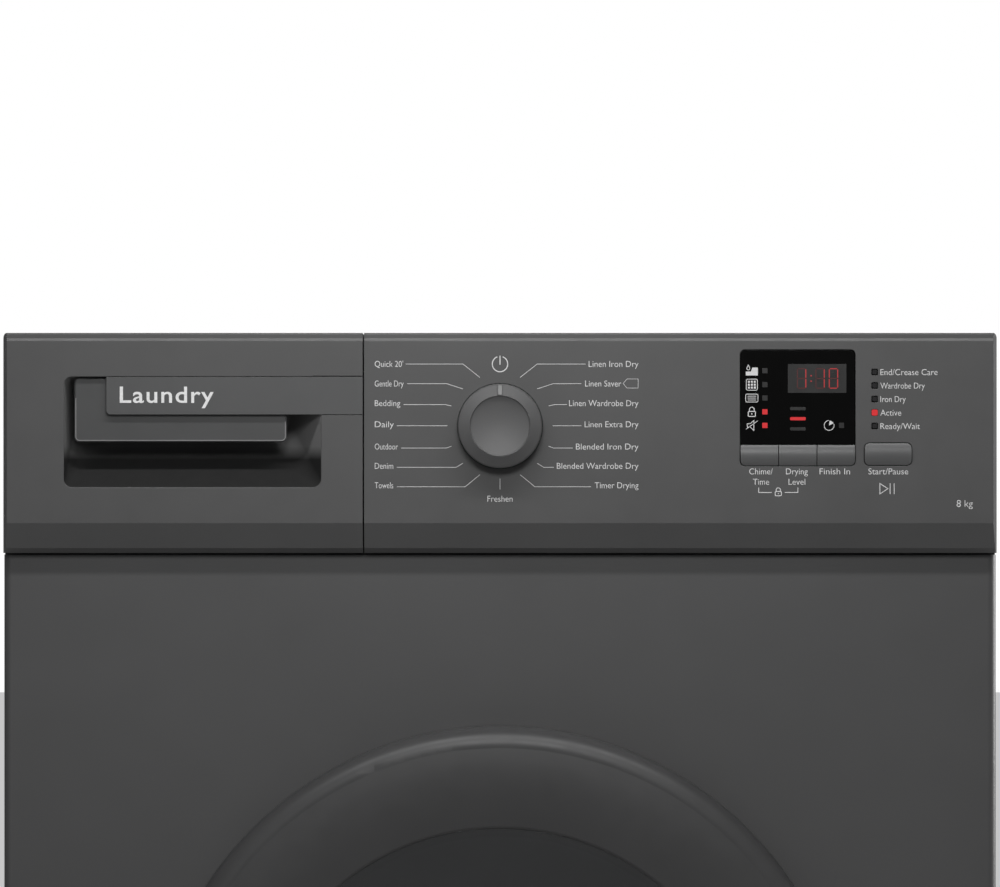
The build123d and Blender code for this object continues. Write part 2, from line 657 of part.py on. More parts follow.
with BuildPart() as tank_container:
    block(TANK_X, TANK_Y, TANK_Z)
    fillet(tank_container.edges().filter_by(Axis.Z), radius=8)
    block(
        (TANK_X[0] + 2, TANK_X[1] - 2),
        (TANK_Y[0] + 2, TANK_Y[1] - 2),
        (TANK_Z[0] + 2, TANK_Z[1] - 2),
        Mode.SUBTRACT,
    )
    # filler hole under the return nozzle, and the pouring hole near the front
    with BuildSketch(Plane.XY.offset(TANK_Z[1] - 3)):
        with Locations((sum(TANK_X) / 2, TANK_Y[1] - 30), (TANK_X[0] + 40, TANK_Y[0] + 30)):
            Circle(14)
    extrude(amount=5, mode=Mode.SUBTRACT)
    # arms that hold the tank front
    for x in ((-277, -267), (-101.5, -96)):
        block(x, (FASCIA_Y + WALL, TANK_Y[0] + 1), (775, 805))
write(tank_container, "tank_container")

with BuildPart() as tank_housing:
    block((TANK_X[0] - 4, TANK_X[1] + 4), (-260, 230), (TRAY_FLOOR - 2, SIDE_Z[1] - 2))
    block((TANK_X[0] - 2, TANK_X[1] + 2), (-261, 228), (TRAY_FLOOR, SIDE_Z[1]), Mode.SUBTRACT)
write(tank_housing, "tank_housing")

# ---------------------------------------------------------------- bulkheads and seals
with BuildPart() as front_bulkhead:
    block((-BASE_HALF, BASE_HALF), BULKHEAD_Y, (BASE_RIM, 717))
    block(
        (CONDENSER_X[0] - 3, -105),
        (BULKHEAD_Y[0] - 1, BULKHEAD_Y[1] + 1),
        (BASE_RIM - 1, 150),
        Mode.SUBTRACT,
    )
    # hub that closes the drum's mouth, and the collar that reaches the front panel
    disc((0, DRUM_Z), HUB_R, (BULKHEAD_Y[1], HUB_BACK))
    disc((0, DRUM_Z), HUB_R - 3, (BULKHEAD_Y[0] - 1, HUB_BACK - 3), Mode.SUBTRACT)
    disc((0, DRUM_Z), COLLAR_R, (COLLAR_FRONT, HUB_BACK))
    # pocket that the lint filter drops into
    block((-FILTER_X - 7, FILTER_X + 7), (FILTER_Y[0] - 3, BULKHEAD_Y[0]), (FILTER_BOTTOM - 7, 268))
    block(
        (-FILTER_X - 2, FILTER_X + 2),
        (FILTER_Y[1] + 3, BULKHEAD_Y[1] + 1),
        (FILTER_BOTTOM - 8, 225),
        Mode.SUBTRACT,
    )
    block(
        (-FILTER_X - 0.5, FILTER_X + 0.5),
        (FILTER_Y[0] - 0.5, FILTER_Y[1] + 0.5),
        (FILTER_BOTTOM - 0.5, DRUM_Z),
        Mode.SUBTRACT,
    )
    # air passage through the back of the pocket
    block((-78, 78), (FILTER_Y[1] - 1, FILTER_Y[1] + 4), (FILTER_BOTTOM + 8, 205), Mode.SUBTRACT)
    disc((0, DRUM_Z), MOUTH_R, (COLLAR_FRONT - 1, HUB_BACK + 1), Mode.SUBTRACT)
write(front_bulkhead, "front_bulkhead")

with BuildPart() as door_seal:
    with BuildSketch(lengthwise(0)):
        with BuildLine():
            Polyline(
                (COLLAR_FRONT, DRUM_Z + MOUTH_R),
                (COLLAR_FRONT, DRUM_Z + COLLAR_R - SEATED),
                (FRONT_Y, DRUM_Z + COLLAR_R - SEATED),
                (FRONT_Y, DRUM_Z + COLLAR_R + 4),
                (FRONT_Y - 2.2, DRUM_Z + COLLAR_R + 3.5),
                (FRONT_Y - 2.7, DRUM_Z + COLLAR_R + 0.5),
                (FRONT_Y - 1.2, DRUM_Z + MOUTH_R),
                close=True,
            )
        make_face()
    revolve(axis=DRUM_AXIS)
write(door_seal, "door_seal")

with BuildPart() as drum_felt_seal:
    disc((0, DRUM_Z), DRUM_MOUTH_R - 0.4, (BULKHEAD_Y[1] + 1, HUB_BACK - 3))
    disc((0, DRUM_Z), HUB_R + SEATED, (BULKHEAD_Y[1], HUB_BACK), Mode.SUBTRACT)
write(drum_felt_seal, "drum_felt_seal")

with BuildPart() as lint_filter:
    with BuildSketch(across(FILTER_Y[1])) as filter_outline:
        with Locations((0, 200)):
            Rectangle(2 * FILTER_X, 2 * (200 - FILTER_BOTTOM))
        fillet(filter_outline.vertices().group_by(Axis.Y)[0], radius=6)
        with Locations((0, DRUM_Z)):
            Circle(MOUTH_R + 0.5, mode=Mode.SUBTRACT)
    extrude(amount=FILTER_Y[1] - FILTER_Y[0])
    # mesh windows, front and back, with a thin sheet left between them
    for y in (FILTER_Y[0] + 6, FILTER_Y[1] + 1):
        with BuildSketch(across(y)):
            with Locations((0, 172)):
                with GridLocations(57, 0, 3, 1):
                    Rectangle(50, 88)
            with Locations((0, DRUM_Z)):
                Circle(MOUTH_R + 14, mode=Mode.SUBTRACT)
        extrude(amount=7, mode=Mode.SUBTRACT)
    # finger slot in the top rail
    with BuildSketch(across(FILTER_Y[1] + 1)):
        with Locations((0, 226.5)):
            SlotOverall(44, 8)
    extrude(amount=10, mode=Mode.SUBTRACT)
write(lint_filter, "lint_filter")

BEARING_R = 20.0
with BuildPart() as rear_bulkhead:
    block((-BASE_HALF, BASE_HALF), (226, 227.5), (BASE_RIM, TRAY_FLOOR - 2))
    disc((0, DRUM_Z), BEARING_R + 8, (226, 250))
    with BuildSketch(across(230)):
        with Locations((0, DRUM_Z)):
            with PolarLocations(105, 24):
                SlotOverall(70, 9)
        with Locations(MOTOR):
            Circle(58)
    extrude(amount=6, mode=Mode.SUBTRACT)
    disc((0, DRUM_Z), SHAFT_R + 2, (225, 251), Mode.SUBTRACT)
    disc((0, DRUM_Z), BEARING_R + SEATED, (230, 251), Mode.SUBTRACT)
write(rear_bulkhead, "rear_bulkhead")

with BuildPart() as rear_bearing:
    disc((0, DRUM_Z), BEARING_R, (230, 248))
    chamfer(rear_bearing.edges().filter_by(GeomType.CIRCLE), length=0.8)
    disc((0, DRUM_Z), SHAFT_R + RUNNING, (229, 249), Mode.SUBTRACT)
write(rear_bearing, "rear_bearing")

# ---------------------------------------------------------------- drum
with BuildPart() as drum_shell:
    disc((0, DRUM_Z), DRUM_R, DRUM_Y)
    disc((0, DRUM_Z), DRUM_R - DRUM_WALL, (DRUM_Y[0] + DRUM_WALL, DRUM_Y[1] + 1), Mode.SUBTRACT)
    disc((0, DRUM_Z), DRUM_MOUTH_R, (DRUM_Y[0] - 1, DRUM_Y[0] + 2), Mode.SUBTRACT)
write(drum_shell, "drum_shell")

with BuildPart() as drum_rear_wall:
    disc((0, DRUM_Z), DRUM_R, (DRUM_Y[1], DRUM_Y[1] + DRUM_WALL))
    with BuildSketch(across(DRUM_Y[1] + 2)):
        with Locations((0, DRUM_Z)):
            for radius in range(66, 155, 14):
                with PolarLocations(radius, round(radius / 3.2)):
                    Circle(3.2)
    extrude(amount=4, mode=Mode.SUBTRACT)
write(drum_rear_wall, "drum_rear_wall")

with BuildPart() as drum_lifters:
    with BuildSketch(across(195)):
        with Locations((0, DRUM_Z)):
            with PolarLocations(DRUM_R - LIFTER_HEIGHT / 2, 3, start_angle=90):
                Trapezoid(78, LIFTER_HEIGHT + 6, 62, rotation=90)
        with Locations((0, DRUM_Z)):
            Circle(DRUM_R - DRUM_WALL - SEATED, mode=Mode.INTERSECT)
    extrude(amount=390)
    crests = [
        e
        for e in drum_lifters.edges().filter_by(Axis.Y)
        if hypot(e.center().X, e.center().Z - DRUM_Z) < DRUM_R - LIFTER_HEIGHT
    ]
    fillet(crests, radius=9)
    # each lifter is a hollow moulding, open towards the shell
    with BuildSketch(across(191)):
        with Locations((0, DRUM_Z)):
            with PolarLocations(DRUM_R - LIFTER_HEIGHT / 2 + 4, 3, start_angle=90):
                Trapezoid(66, LIFTER_HEIGHT + 6, 62, rotation=90)
    extrude(amount=382, mode=Mode.SUBTRACT)
write(drum_lifters, "drum_lifters")

with BuildPart() as drum_shaft:
    disc((0, DRUM_Z), 46, (DRUM_Y[1] + DRUM_WALL, DRUM_Y[1] + DRUM_WALL + 4))
    disc((0, DRUM_Z), SHAFT_R, (DRUM_Y[1] + DRUM_WALL, 256))
    chamfer(drum_shaft.faces().sort_by(Axis.Y)[-1].edges(), length=1)
write(drum_shaft, "drum_shaft")

with BuildPart() as roller_axles:
    for place in ROLLERS.values():
        disc(place, 5, (BULKHEAD_Y[1], ROLLER_Y[1] + 3))
        disc(place, 9, (BULKHEAD_Y[1], ROLLER_Y[0] - 0.3))
        disc(place, 8, (ROLLER_Y[1] + 0.3, ROLLER_Y[1] + 1.5))
write(roller_axles, "roller_axles")

for side, place in ROLLERS.items():
    with BuildPart() as roller:
        disc(place, ROLLER_R, ROLLER_Y)
        chamfer(roller.edges().filter_by(GeomType.CIRCLE), length=1.5)
        disc(place, 5 + RUNNING, (ROLLER_Y[0] - 1, ROLLER_Y[1] + 1), Mode.SUBTRACT)
    write(roller, f"roller_{side}")

# ---------------------------------------------------------------- drive and air system
with BuildPart() as motor_housing:
    disc(MOTOR, MOTOR_R, (-60, 60))
    fillet(motor_housing.edges().filter_by(GeomType.CIRCLE), radius=8)
    with BuildSketch(across(61)):
        with Locations(MOTOR):
            with PolarLocations(30, 8):
                SlotOverall(20, 7)
    extrude(amount=8, mode=Mode.SUBTRACT)
    disc(MOTOR, MOTOR_SHAFT_R + RUNNING, (-61, 61), Mode.SUBTRACT)
write(motor_housing, "motor_housing")

with BuildPart() as motor_shaft:
    disc(MOTOR, MOTOR_SHAFT_R, (-180, 198))
    disc(MOTOR, PULLEY_R, (BELT_Y[0] - 1.5, BELT_Y[1] + 1.5))
    for y in (BELT_Y[0] - 3.5, BELT_Y[1] + 1.5):
        disc(MOTOR, PULLEY_R + 3, (y, y + 2))
write(motor_shaft, "motor_shaft")


def blower_wheel(radius, y_front, y_back, blades):
    """Blower wheel on the motor's shaft: back disc, hub, a ring of blades and a front ring."""
    with BuildPart() as wheel:
        disc(MOTOR, radius, (y_back - 2, y_back))
        disc(MOTOR, 12, (y_front + 4, y_back))
        with BuildSketch(across(y_back - 1)):
            with Locations(MOTOR):
                with PolarLocations(radius - 9, blades):
                    Rectangle(16, 1.4, rotation=35)
        extrude(amount=y_back - 1 - y_front)
        disc(MOTOR, radius, (y_front, y_front + 2))
        disc(MOTOR, radius - 16, (y_front - 1, y_front + 3), Mode.SUBTRACT)
        disc(MOTOR, MOTOR_SHAFT_R + SEATED, (y_front - 1, y_back + 1), Mode.SUBTRACT)
    return wheel


write(blower_wheel(58, -178, -132, 24), "process_fan")
write(blower_wheel(50, 152, 192, 20), "cooling_fan")

with BuildPart() as process_fan_housing:
    disc(MOTOR, 66, (-186, -124))
    block((MOTOR[0] - 66, MOTOR[0] - 20), (-186, -124), (MOTOR[1], 138))
    block((MOTOR[0] - 40, MOTOR[0] + 40), (-180, -130), (BASE_FLOOR, MOTOR[1]))
    disc(MOTOR, 62, (-183, -127), Mode.SUBTRACT)
    block((MOTOR[0] - 62, MOTOR[0] - 23), (-183, -127), (MOTOR[1], 151), Mode.SUBTRACT)
    disc(MOTOR, 42, (-187, -182), Mode.SUBTRACT)
    disc(MOTOR, MOTOR_SHAFT_R + 2, (-128, -123), Mode.SUBTRACT)
write(process_fan_housing, "process_fan_housing")

with BuildPart() as idler_pulley:
    disc(IDLER, IDLER_R, (BELT_Y[0] - 1.5, BELT_Y[1] + 1.5))
    for y in (BELT_Y[0] - 3.5, BELT_Y[1] + 1.5):
        disc(IDLER, IDLER_R + 3, (y, y + 2))
    disc(IDLER, 4 + RUNNING, (BELT_Y[0] - 4, BELT_Y[1] + 4), Mode.SUBTRACT)
write(idler_pulley, "idler_pulley")

ARM_FOOT = (60.0, 44.0)
with BuildPart() as tension_arm:
    with BuildSketch(across(BELT_Y[1] + 7)):
        with Locations(IDLER, ARM_FOOT):
            Circle(9)
        make_hull()
    extrude(amount=3)
    disc(IDLER, 4, (BELT_Y[0] - 4.5, BELT_Y[1] + 5))
    disc(IDLER, 6, (BELT_Y[0] - 4.5, BELT_Y[0] - 3.8))
    block((ARM_FOOT[0] - 9, ARM_FOOT[0] + 9), (BELT_Y[1] + 4, BELT_Y[1] + 20), (BASE_FLOOR, ARM_FOOT[1]))
write(tension_arm, "tension_arm")

with BuildPart() as drive_belt:
    for grow, mode in ((BELT_THICKNESS, Mode.ADD), (0, Mode.SUBTRACT)):
        with BuildSketch(across(BELT_Y[1])):
            for place, radius in (((0, DRUM_Z), DRUM_R), (MOTOR, PULLEY_R), (IDLER, IDLER_R)):
                with Locations(place):
                    Circle(radius + BELT_PLAY + grow)
            make_hull()
        extrude(amount=BELT_Y[1] - BELT_Y[0], mode=mode)
write(drive_belt, "drive_belt")

HEATER_Y = 262.0
HEATER_RADII = (95, 118, 141)
with BuildPart() as heater_element:
    for radius in HEATER_RADII:
        with Locations(Location((0, HEATER_Y, DRUM_Z), (90, 0, 0))):
            Torus(radius, 4)
    for angle in (30, 150, 270):
        reach = HEATER_RADII[1]
        spot = (reach * cos(radians(angle)), HEATER_Y, DRUM_Z + reach * sin(radians(angle)))
        with Locations(Location(spot, (0, -angle, 0))):
            Box(56, 5, 7)
    for x in (-8, 8):
        block((x - 2, x + 2), (HEATER_Y - 2, REAR_Y - 8), (DRUM_Z + 139, DRUM_Z + 143))
write(heater_element, "heater_element")

with BuildPart() as drain_pump:
    block((20, 90), (222, 280), (BASE_FLOOR, BASE_FLOOR + 6))
    with Locations((55, 251, BASE_FLOOR + 26)):
        Cylinder(24, 42)
    with Locations((55, 251, BASE_FLOOR + 56)):
        Cylinder(15, 20)
    disc((55, BASE_FLOOR + 18), 7, (205, 240))
write(drain_pump, "drain_pump")

# ---------------------------------------------------------------- condenser
FRAME_PLATE = 4.0
with BuildPart() as condenser_frame:
    block(CONDENSER_X, CONDENSER_Y, CONDENSER_Z)
    fillet(condenser_frame.edges().filter_by(Axis.Y), radius=4)
    inner_y = (CONDENSER_Y[0] + FRAME_PLATE, CONDENSER_Y[1] - FRAME_PLATE)
    inner_z = (CONDENSER_Z[0] + FRAME_PLATE, CONDENSER_Z[1] - FRAME_PLATE)
    block((CONDENSER_X[0] - 1, CONDENSER_X[1] + 1), inner_y, inner_z, Mode.SUBTRACT)
    for x in LEVERS_X.values():
        disc((x, LEVER_Z), STEM_R + RUNNING, (CONDENSER_Y[0] - 1, inner_y[0] + 1), Mode.SUBTRACT)
write(condenser_frame, "condenser_frame")

FIN_PITCH = 11.0
with BuildPart() as condenser_core:
    block((CONDENSER_X[0] + 6, CONDENSER_X[1] - 6), (inner_y[0] + 3, inner_y[1] - 3), inner_z)
    fin_count = int((inner_y[1] - inner_y[0] - 20) / FIN_PITCH)
    with BuildSketch(lengthwise(CONDENSER_X[0])):
        with Locations((sum(inner_y) / 2, sum(inner_z) / 2)):
            with GridLocations(FIN_PITCH, inner_z[1] - inner_z[0], fin_count, 2):
                Rectangle(FIN_PITCH - 2, 88)
    extrude(amount=CONDENSER_X[1] - CONDENSER_X[0], mode=Mode.SUBTRACT)
write(condenser_core, "condenser_core")

for side, x in LEVERS_X.items():
    with BuildPart() as lever:
        with BuildSketch(across(CONDENSER_Y[0] - 0.3)):
            with Locations((x, LEVER_Z + 10)):
                SlotOverall(44, 14, rotation=90)
        extrude(amount=3.2)
        chamfer(lever.faces().sort_by(Axis.Y)[0].edges(), length=0.8)
        block((x - 1.6, x + 1.6), (CONDENSER_Y[0] - 4.6, CONDENSER_Y[0] - 3), (LEVER_Z - 6, LEVER_Z + 28))
        disc((x, LEVER_Z), STEM_R, (CONDENSER_Y[0] - 0.4, CONDENSER_Y[0] + FRAME_PLATE - 0.5))
    write(lever, f"condenser_lever_{side}")

with BuildPart() as condenser_flap:
    block(FLAP_X, (FRONT_Y, FRONT_Y + 3), FLAP_Z)
    fillet(condenser_flap.edges().filter_by(Axis.Y), radius=2.5)
    chamfer(condenser_flap.faces().sort_by(Axis.Y)[0].edges(), length=0.6)
    # cooling air louvres and the finger notch in the top edge
    with BuildSketch(across(FRONT_Y + 4)):
        with Locations((sum(FLAP_X) / 2, 88)):
            with GridLocations(88, 9, 2, 8):
                SlotOverall(78, 3.4)
        with Locations((sum(FLAP_X) / 2, FLAP_Z[1] + 3)):
            Ellipse(26, 10)
    extrude(amount=5, mode=Mode.SUBTRACT)
    # hinge bosses and pins
    for side, edge in ((1, FLAP_X[0]), (-1, FLAP_X[1])):
        block(
            sorted((edge, edge + side * 6)),
            (FLAP_AXIS[0] - 2, FLAP_AXIS[0] + 3),
            (FLAP_AXIS[1] - 3.4, FLAP_AXIS[1] + 3.5),
        )
        with BuildSketch(lengthwise(edge + side)):
            with Locations(FLAP_AXIS):
                Circle(HINGE_PIN_R)
        extrude(amount=-side * 7.5)
write(condenser_flap, "condenser_flap")

# ---------------------------------------------------------------- door
with BuildPart() as door_outer_ring:
    with BuildSketch(lengthwise(0)):
        with BuildLine():
            Polyline((DOOR_BACK, DRUM_Z + DOOR_R - 3), (DOOR_BACK, DRUM_Z + DOOR_R), (-289, DRUM_Z + DOOR_R))
            ThreePointArc((-289, DRUM_Z + DOOR_R), (-296.8, DRUM_Z + 206.6), (DOOR_FRONT, DRUM_Z + 198))
            ThreePointArc(
                (DOOR_FRONT, DRUM_Z + 198), (-301.2, DRUM_Z + 175), (-297.5, DRUM_Z + WINDOW_R + 1.5)
            )
            Polyline(
                (-297.5, DRUM_Z + WINDOW_R + 1.5),
                (-296.5, DRUM_Z + WINDOW_R),
                (-293.5, DRUM_Z + WINDOW_R),
                (-293.5, DRUM_Z + WINDOW_R - 5),
                (-290, DRUM_Z + WINDOW_R - 5),
                (-290, DRUM_Z + WINDOW_R + 3),
                (-294.5, DRUM_Z + WINDOW_R + 5),
            )
            ThreePointArc((-294.5, DRUM_Z + WINDOW_R + 5), (-298, DRUM_Z + 175), (-297, DRUM_Z + 197))
            ThreePointArc((-297, DRUM_Z + 197), (-294.3, DRUM_Z + 204.4), (-288, DRUM_Z + DOOR_R - 3))
            Line((-288, DRUM_Z + DOOR_R - 3), (DOOR_BACK, DRUM_Z + DOOR_R - 3))
        make_face()
    revolve(axis=DRUM_AXIS)
    # finger recess in the right rim
    grip_z = (DRUM_Z - GRIP_HALF, DRUM_Z + GRIP_HALF)
    block((GRIP_X_INNER, DOOR_R + 1), (DOOR_BACK - 11, DOOR_BACK + 1), grip_z, Mode.SUBTRACT)
write(door_outer_ring, "door_outer_ring")

with BuildPart() as door_window:
    with BuildSketch(lengthwise(0)):
        with BuildLine():
            Line((-300, DRUM_Z), (-303, DRUM_Z))
            TangentArc((-303, DRUM_Z), (-296.5, DRUM_Z + WINDOW_R - 0.1), tangent=(0, 1))
            Line((-296.5, DRUM_Z + WINDOW_R - 0.1), (-293.5, DRUM_Z + WINDOW_R - 0.1))
            TangentArc((-300, DRUM_Z), (-293.5, DRUM_Z + WINDOW_R - 0.1), tangent=(0, 1))
        make_face()
    revolve(axis=DRUM_AXIS)
write(door_window, "door_window")

with BuildPart() as door_inner_frame:
    disc((0, DRUM_Z), DOOR_R - 3 - SEATED, (DOOR_BACK - 3, DOOR_BACK))
    disc((0, DRUM_Z), PLUG_R, (DOOR_BACK - 1, PLUG_BACK))
    fillet(door_inner_frame.faces().sort_by(Axis.Y)[-1].edges(), radius=4)
    disc((0, DRUM_Z), PLUG_R - 3, (DOOR_BACK - 4, PLUG_BACK - 3), Mode.SUBTRACT)
    # cup of the finger recess, open towards the rim and the rear
    grip_z = (DRUM_Z - GRIP_HALF, DRUM_Z + GRIP_HALF)
    cup_y = (DOOR_BACK - 14, DOOR_BACK)
    block((GRIP_X_INNER + 2, DOOR_R), (DOOR_BACK - 4, DOOR_BACK + 1), grip_z, Mode.SUBTRACT)
    block((GRIP_X_INNER, GRIP_X_INNER + 2), cup_y, (grip_z[0] - 2, grip_z[1] + 2))
    for z in (grip_z[0] - 1, grip_z[1] + 1):
        block((GRIP_X_INNER, GRIP_X_INNER + 8), cup_y, (z - 1, z + 1))
    with BuildSketch(across(cup_y[0] + 2)):
        with Locations(((GRIP_X_INNER + DOOR_R) / 2, DRUM_Z)):
            Rectangle(DOOR_R - GRIP_X_INNER, 2 * GRIP_HALF + 4)
        with Locations((0, DRUM_Z)):
            Circle(DOOR_R - 3.5, mode=Mode.INTERSECT)
    extrude(amount=2)
write(door_inner_frame, "door_inner_frame")

with BuildPart() as door_latch_hook:
    with BuildSketch(lengthwise(LATCH_X - 3)):
        with BuildLine():
            Polyline(
                (DOOR_BACK, LATCH_Z - 7),
                (DOOR_BACK, LATCH_Z + 7),
                (FRONT_Y + 12, LATCH_Z + 7),
                (FRONT_Y + 15, LATCH_Z + 3),
                (FRONT_Y + 15, LATCH_Z - 1),
                (FRONT_Y + 10, LATCH_Z - 1),
                (FRONT_Y + 8, LATCH_Z + 2),
                (FRONT_Y, LATCH_Z + 2),
                (FRONT_Y, LATCH_Z - 7),
                close=True,
            )
        make_face()
    extrude(amount=6)
write(door_latch_hook, "door_latch_hook")

with BuildPart() as door_catch:
    block((LATCH_X - 11, LATCH_X + 11), (FRONT_Y + SHEET, FRONT_Y + 19), (LATCH_Z - 19, LATCH_Z + 19))
    block((LATCH_X - 7, LATCH_X + 7), (FRONT_Y, FRONT_Y + 17), (LATCH_Z - 14, LATCH_Z + 14), Mode.SUBTRACT)
write(door_catch, "door_catch")

BARREL_R = 5.5
LUG = 12.0
with BuildPart() as door_hinge_arm:
    with BuildSketch(Plane.XY.offset(DRUM_Z - HINGE_REACH)):
        with Locations((HINGE_X, HINGE_Y)):
            Circle(BARREL_R)
        with Locations((HINGE_X + 1, (HINGE_Y + FRONT_Y - 1) / 2)):
            Rectangle(7, FRONT_Y - 1 - HINGE_Y)
        with Locations((HINGE_X + 15, FRONT_Y - 2)):
            Rectangle(30, 2)
        with Locations((HINGE_X, HINGE_Y)):
            Circle(HINGE_PIN_R + RUNNING, mode=Mode.SUBTRACT)
    extrude(amount=2 * HINGE_REACH)
write(door_hinge_arm, "door_hinge_arm")

with BuildPart() as door_hinge_bracket:
    with BuildSketch(Plane.XY.offset(DRUM_Z)):
        with Locations((HINGE_X, HINGE_Y)):
            Circle(HINGE_PIN_R)
    extrude(amount=HINGE_REACH + LUG, both=True)
    for side in (-1, 1):
        low, high = sorted((DRUM_Z + side * (HINGE_REACH + 0.5), DRUM_Z + side * (HINGE_REACH + LUG)))
        with BuildSketch(Plane.XY.offset(low)):
            with Locations((HINGE_X, HINGE_Y)):
                Circle(BARREL_R + 0.5)
            with Locations((HINGE_X - 9, FRONT_Y - 1)):
                Rectangle(26, 2)
            with Locations((HINGE_X - 2, (HINGE_Y + FRONT_Y) / 2)):
                Rectangle(8, FRONT_Y - HINGE_Y)
        extrude(amount=high - low)
    block(
        (HINGE_X - 22, HINGE_X - 9),
        (FRONT_Y - 2, FRONT_Y),
        (DRUM_Z - HINGE_REACH - LUG, DRUM_Z + HINGE_REACH + LUG),
    )
write(door_hinge_bracket, "door_hinge_bracket")
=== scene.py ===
import json
import math

import bmesh
import bpy
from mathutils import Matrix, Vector


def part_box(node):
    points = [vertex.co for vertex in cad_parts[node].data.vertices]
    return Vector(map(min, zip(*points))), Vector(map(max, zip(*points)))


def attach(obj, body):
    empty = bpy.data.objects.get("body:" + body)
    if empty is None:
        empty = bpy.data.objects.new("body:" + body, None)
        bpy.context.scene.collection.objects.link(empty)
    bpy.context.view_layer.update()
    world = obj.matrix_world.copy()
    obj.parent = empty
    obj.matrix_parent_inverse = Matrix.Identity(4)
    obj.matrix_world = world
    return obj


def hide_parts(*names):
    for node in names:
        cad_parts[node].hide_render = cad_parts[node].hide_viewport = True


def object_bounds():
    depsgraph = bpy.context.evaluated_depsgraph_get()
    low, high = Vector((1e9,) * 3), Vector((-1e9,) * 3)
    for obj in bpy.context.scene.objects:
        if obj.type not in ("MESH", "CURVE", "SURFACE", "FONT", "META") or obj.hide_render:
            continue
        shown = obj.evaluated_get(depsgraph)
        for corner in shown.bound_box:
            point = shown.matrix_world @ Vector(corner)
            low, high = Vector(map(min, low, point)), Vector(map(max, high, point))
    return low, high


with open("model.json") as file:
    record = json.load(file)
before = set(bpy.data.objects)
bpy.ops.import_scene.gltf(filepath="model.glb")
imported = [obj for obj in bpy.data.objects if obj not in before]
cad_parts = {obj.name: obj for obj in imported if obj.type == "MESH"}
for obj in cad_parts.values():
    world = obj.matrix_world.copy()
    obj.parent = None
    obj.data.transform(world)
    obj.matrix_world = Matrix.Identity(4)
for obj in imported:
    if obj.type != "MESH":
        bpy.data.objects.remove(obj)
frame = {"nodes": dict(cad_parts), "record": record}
cad_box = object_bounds()

# Looks of a free-standing condenser clothes dryer. +X is right, -Y is the front, +Z is up.
# Blender works in metres. Artwork on the control panel is laid out in millimetres.
MM = 0.001
NODES = frame["nodes"]
CENTRE_X = (cad_box[0].x + cad_box[1].x) / 2
TOP_Z = cad_box[1].z
WIDTH = cad_box[1].x - cad_box[0].x


# ---------------------------------------------------------------- camera, light, floor
def linear(shade):
    """Linear value of an sRGB shade from 0 to 255."""
    s = shade / 255
    return s / 12.92 if s <= 0.04045 else ((s + 0.055) / 1.055) ** 2.4


def rgb(red, green, blue):
    """Linear colour, with alpha, of three sRGB shades."""
    return (linear(red), linear(green), linear(blue), 1.0)


def grey(shade):
    return rgb(shade, shade, shade)


def aim(thing, place, target):
    """Puts a camera or a light at place, looking at target."""
    thing.location = place
    thing.rotation_euler = (Vector(target) - Vector(place)).to_track_quat("-Z", "Y").to_euler()


def add_camera():
    """Long lens, square on to the control panel, with the machine's full width in the frame."""
    margin = 1.0025
    panel_middle = 0.066  # below the top of the machine
    panel_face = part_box("control_fascia")[0].y
    view_width = WIDTH * margin
    aim_height = TOP_Z - panel_middle
    data = bpy.data.cameras.new("camera")
    data.lens = 200
    data.sensor_width = 36
    distance = view_width * data.lens / data.sensor_width
    camera = bpy.data.objects.new("camera", data)
    bpy.context.scene.collection.objects.link(camera)
    aim(camera, (CENTRE_X, panel_face - distance, aim_height), (CENTRE_X, panel_face, aim_height))
    data.clip_end = 100
    bpy.context.scene.camera = camera


def add_area_light(name, place, target, size, power, glossy=True):
    """Soft lamp of the given width and height; without glossy, no surface mirrors it."""
    data = bpy.data.lights.new(name, "AREA")
    data.shape = "RECTANGLE"
    data.size, data.size_y = size
    data.energy = power
    light = bpy.data.objects.new(name, data)
    bpy.context.scene.collection.objects.link(light)
    aim(light, place, target)
    light.visible_camera = False
    light.visible_glossy = glossy


def add_world():
    """White surroundings for the camera, and a dimmer even light for everything else."""
    world = bpy.data.worlds.new("studio")
    bpy.context.scene.world = world
    world.use_nodes = True
    nodes, links = world.node_tree.nodes, world.node_tree.links
    nodes.clear()
    seen = nodes.new("ShaderNodeBackground")
    seen.inputs["Color"].default_value = (1, 1, 1, 1)
    lit = nodes.new("ShaderNodeBackground")
    lit.inputs["Color"].default_value = grey(250)
    lit.inputs["Strength"].default_value = 0.12
    ray = nodes.new("ShaderNodeLightPath")
    mix = nodes.new("ShaderNodeMixShader")
    output = nodes.new("ShaderNodeOutputWorld")
    links.new(ray.outputs["Is Camera Ray"], mix.inputs["Fac"])
    links.new(lit.outputs[0], mix.inputs[1])
    links.new(seen.outputs[0], mix.inputs[2])
    links.new(mix.outputs[0], output.inputs["Surface"])


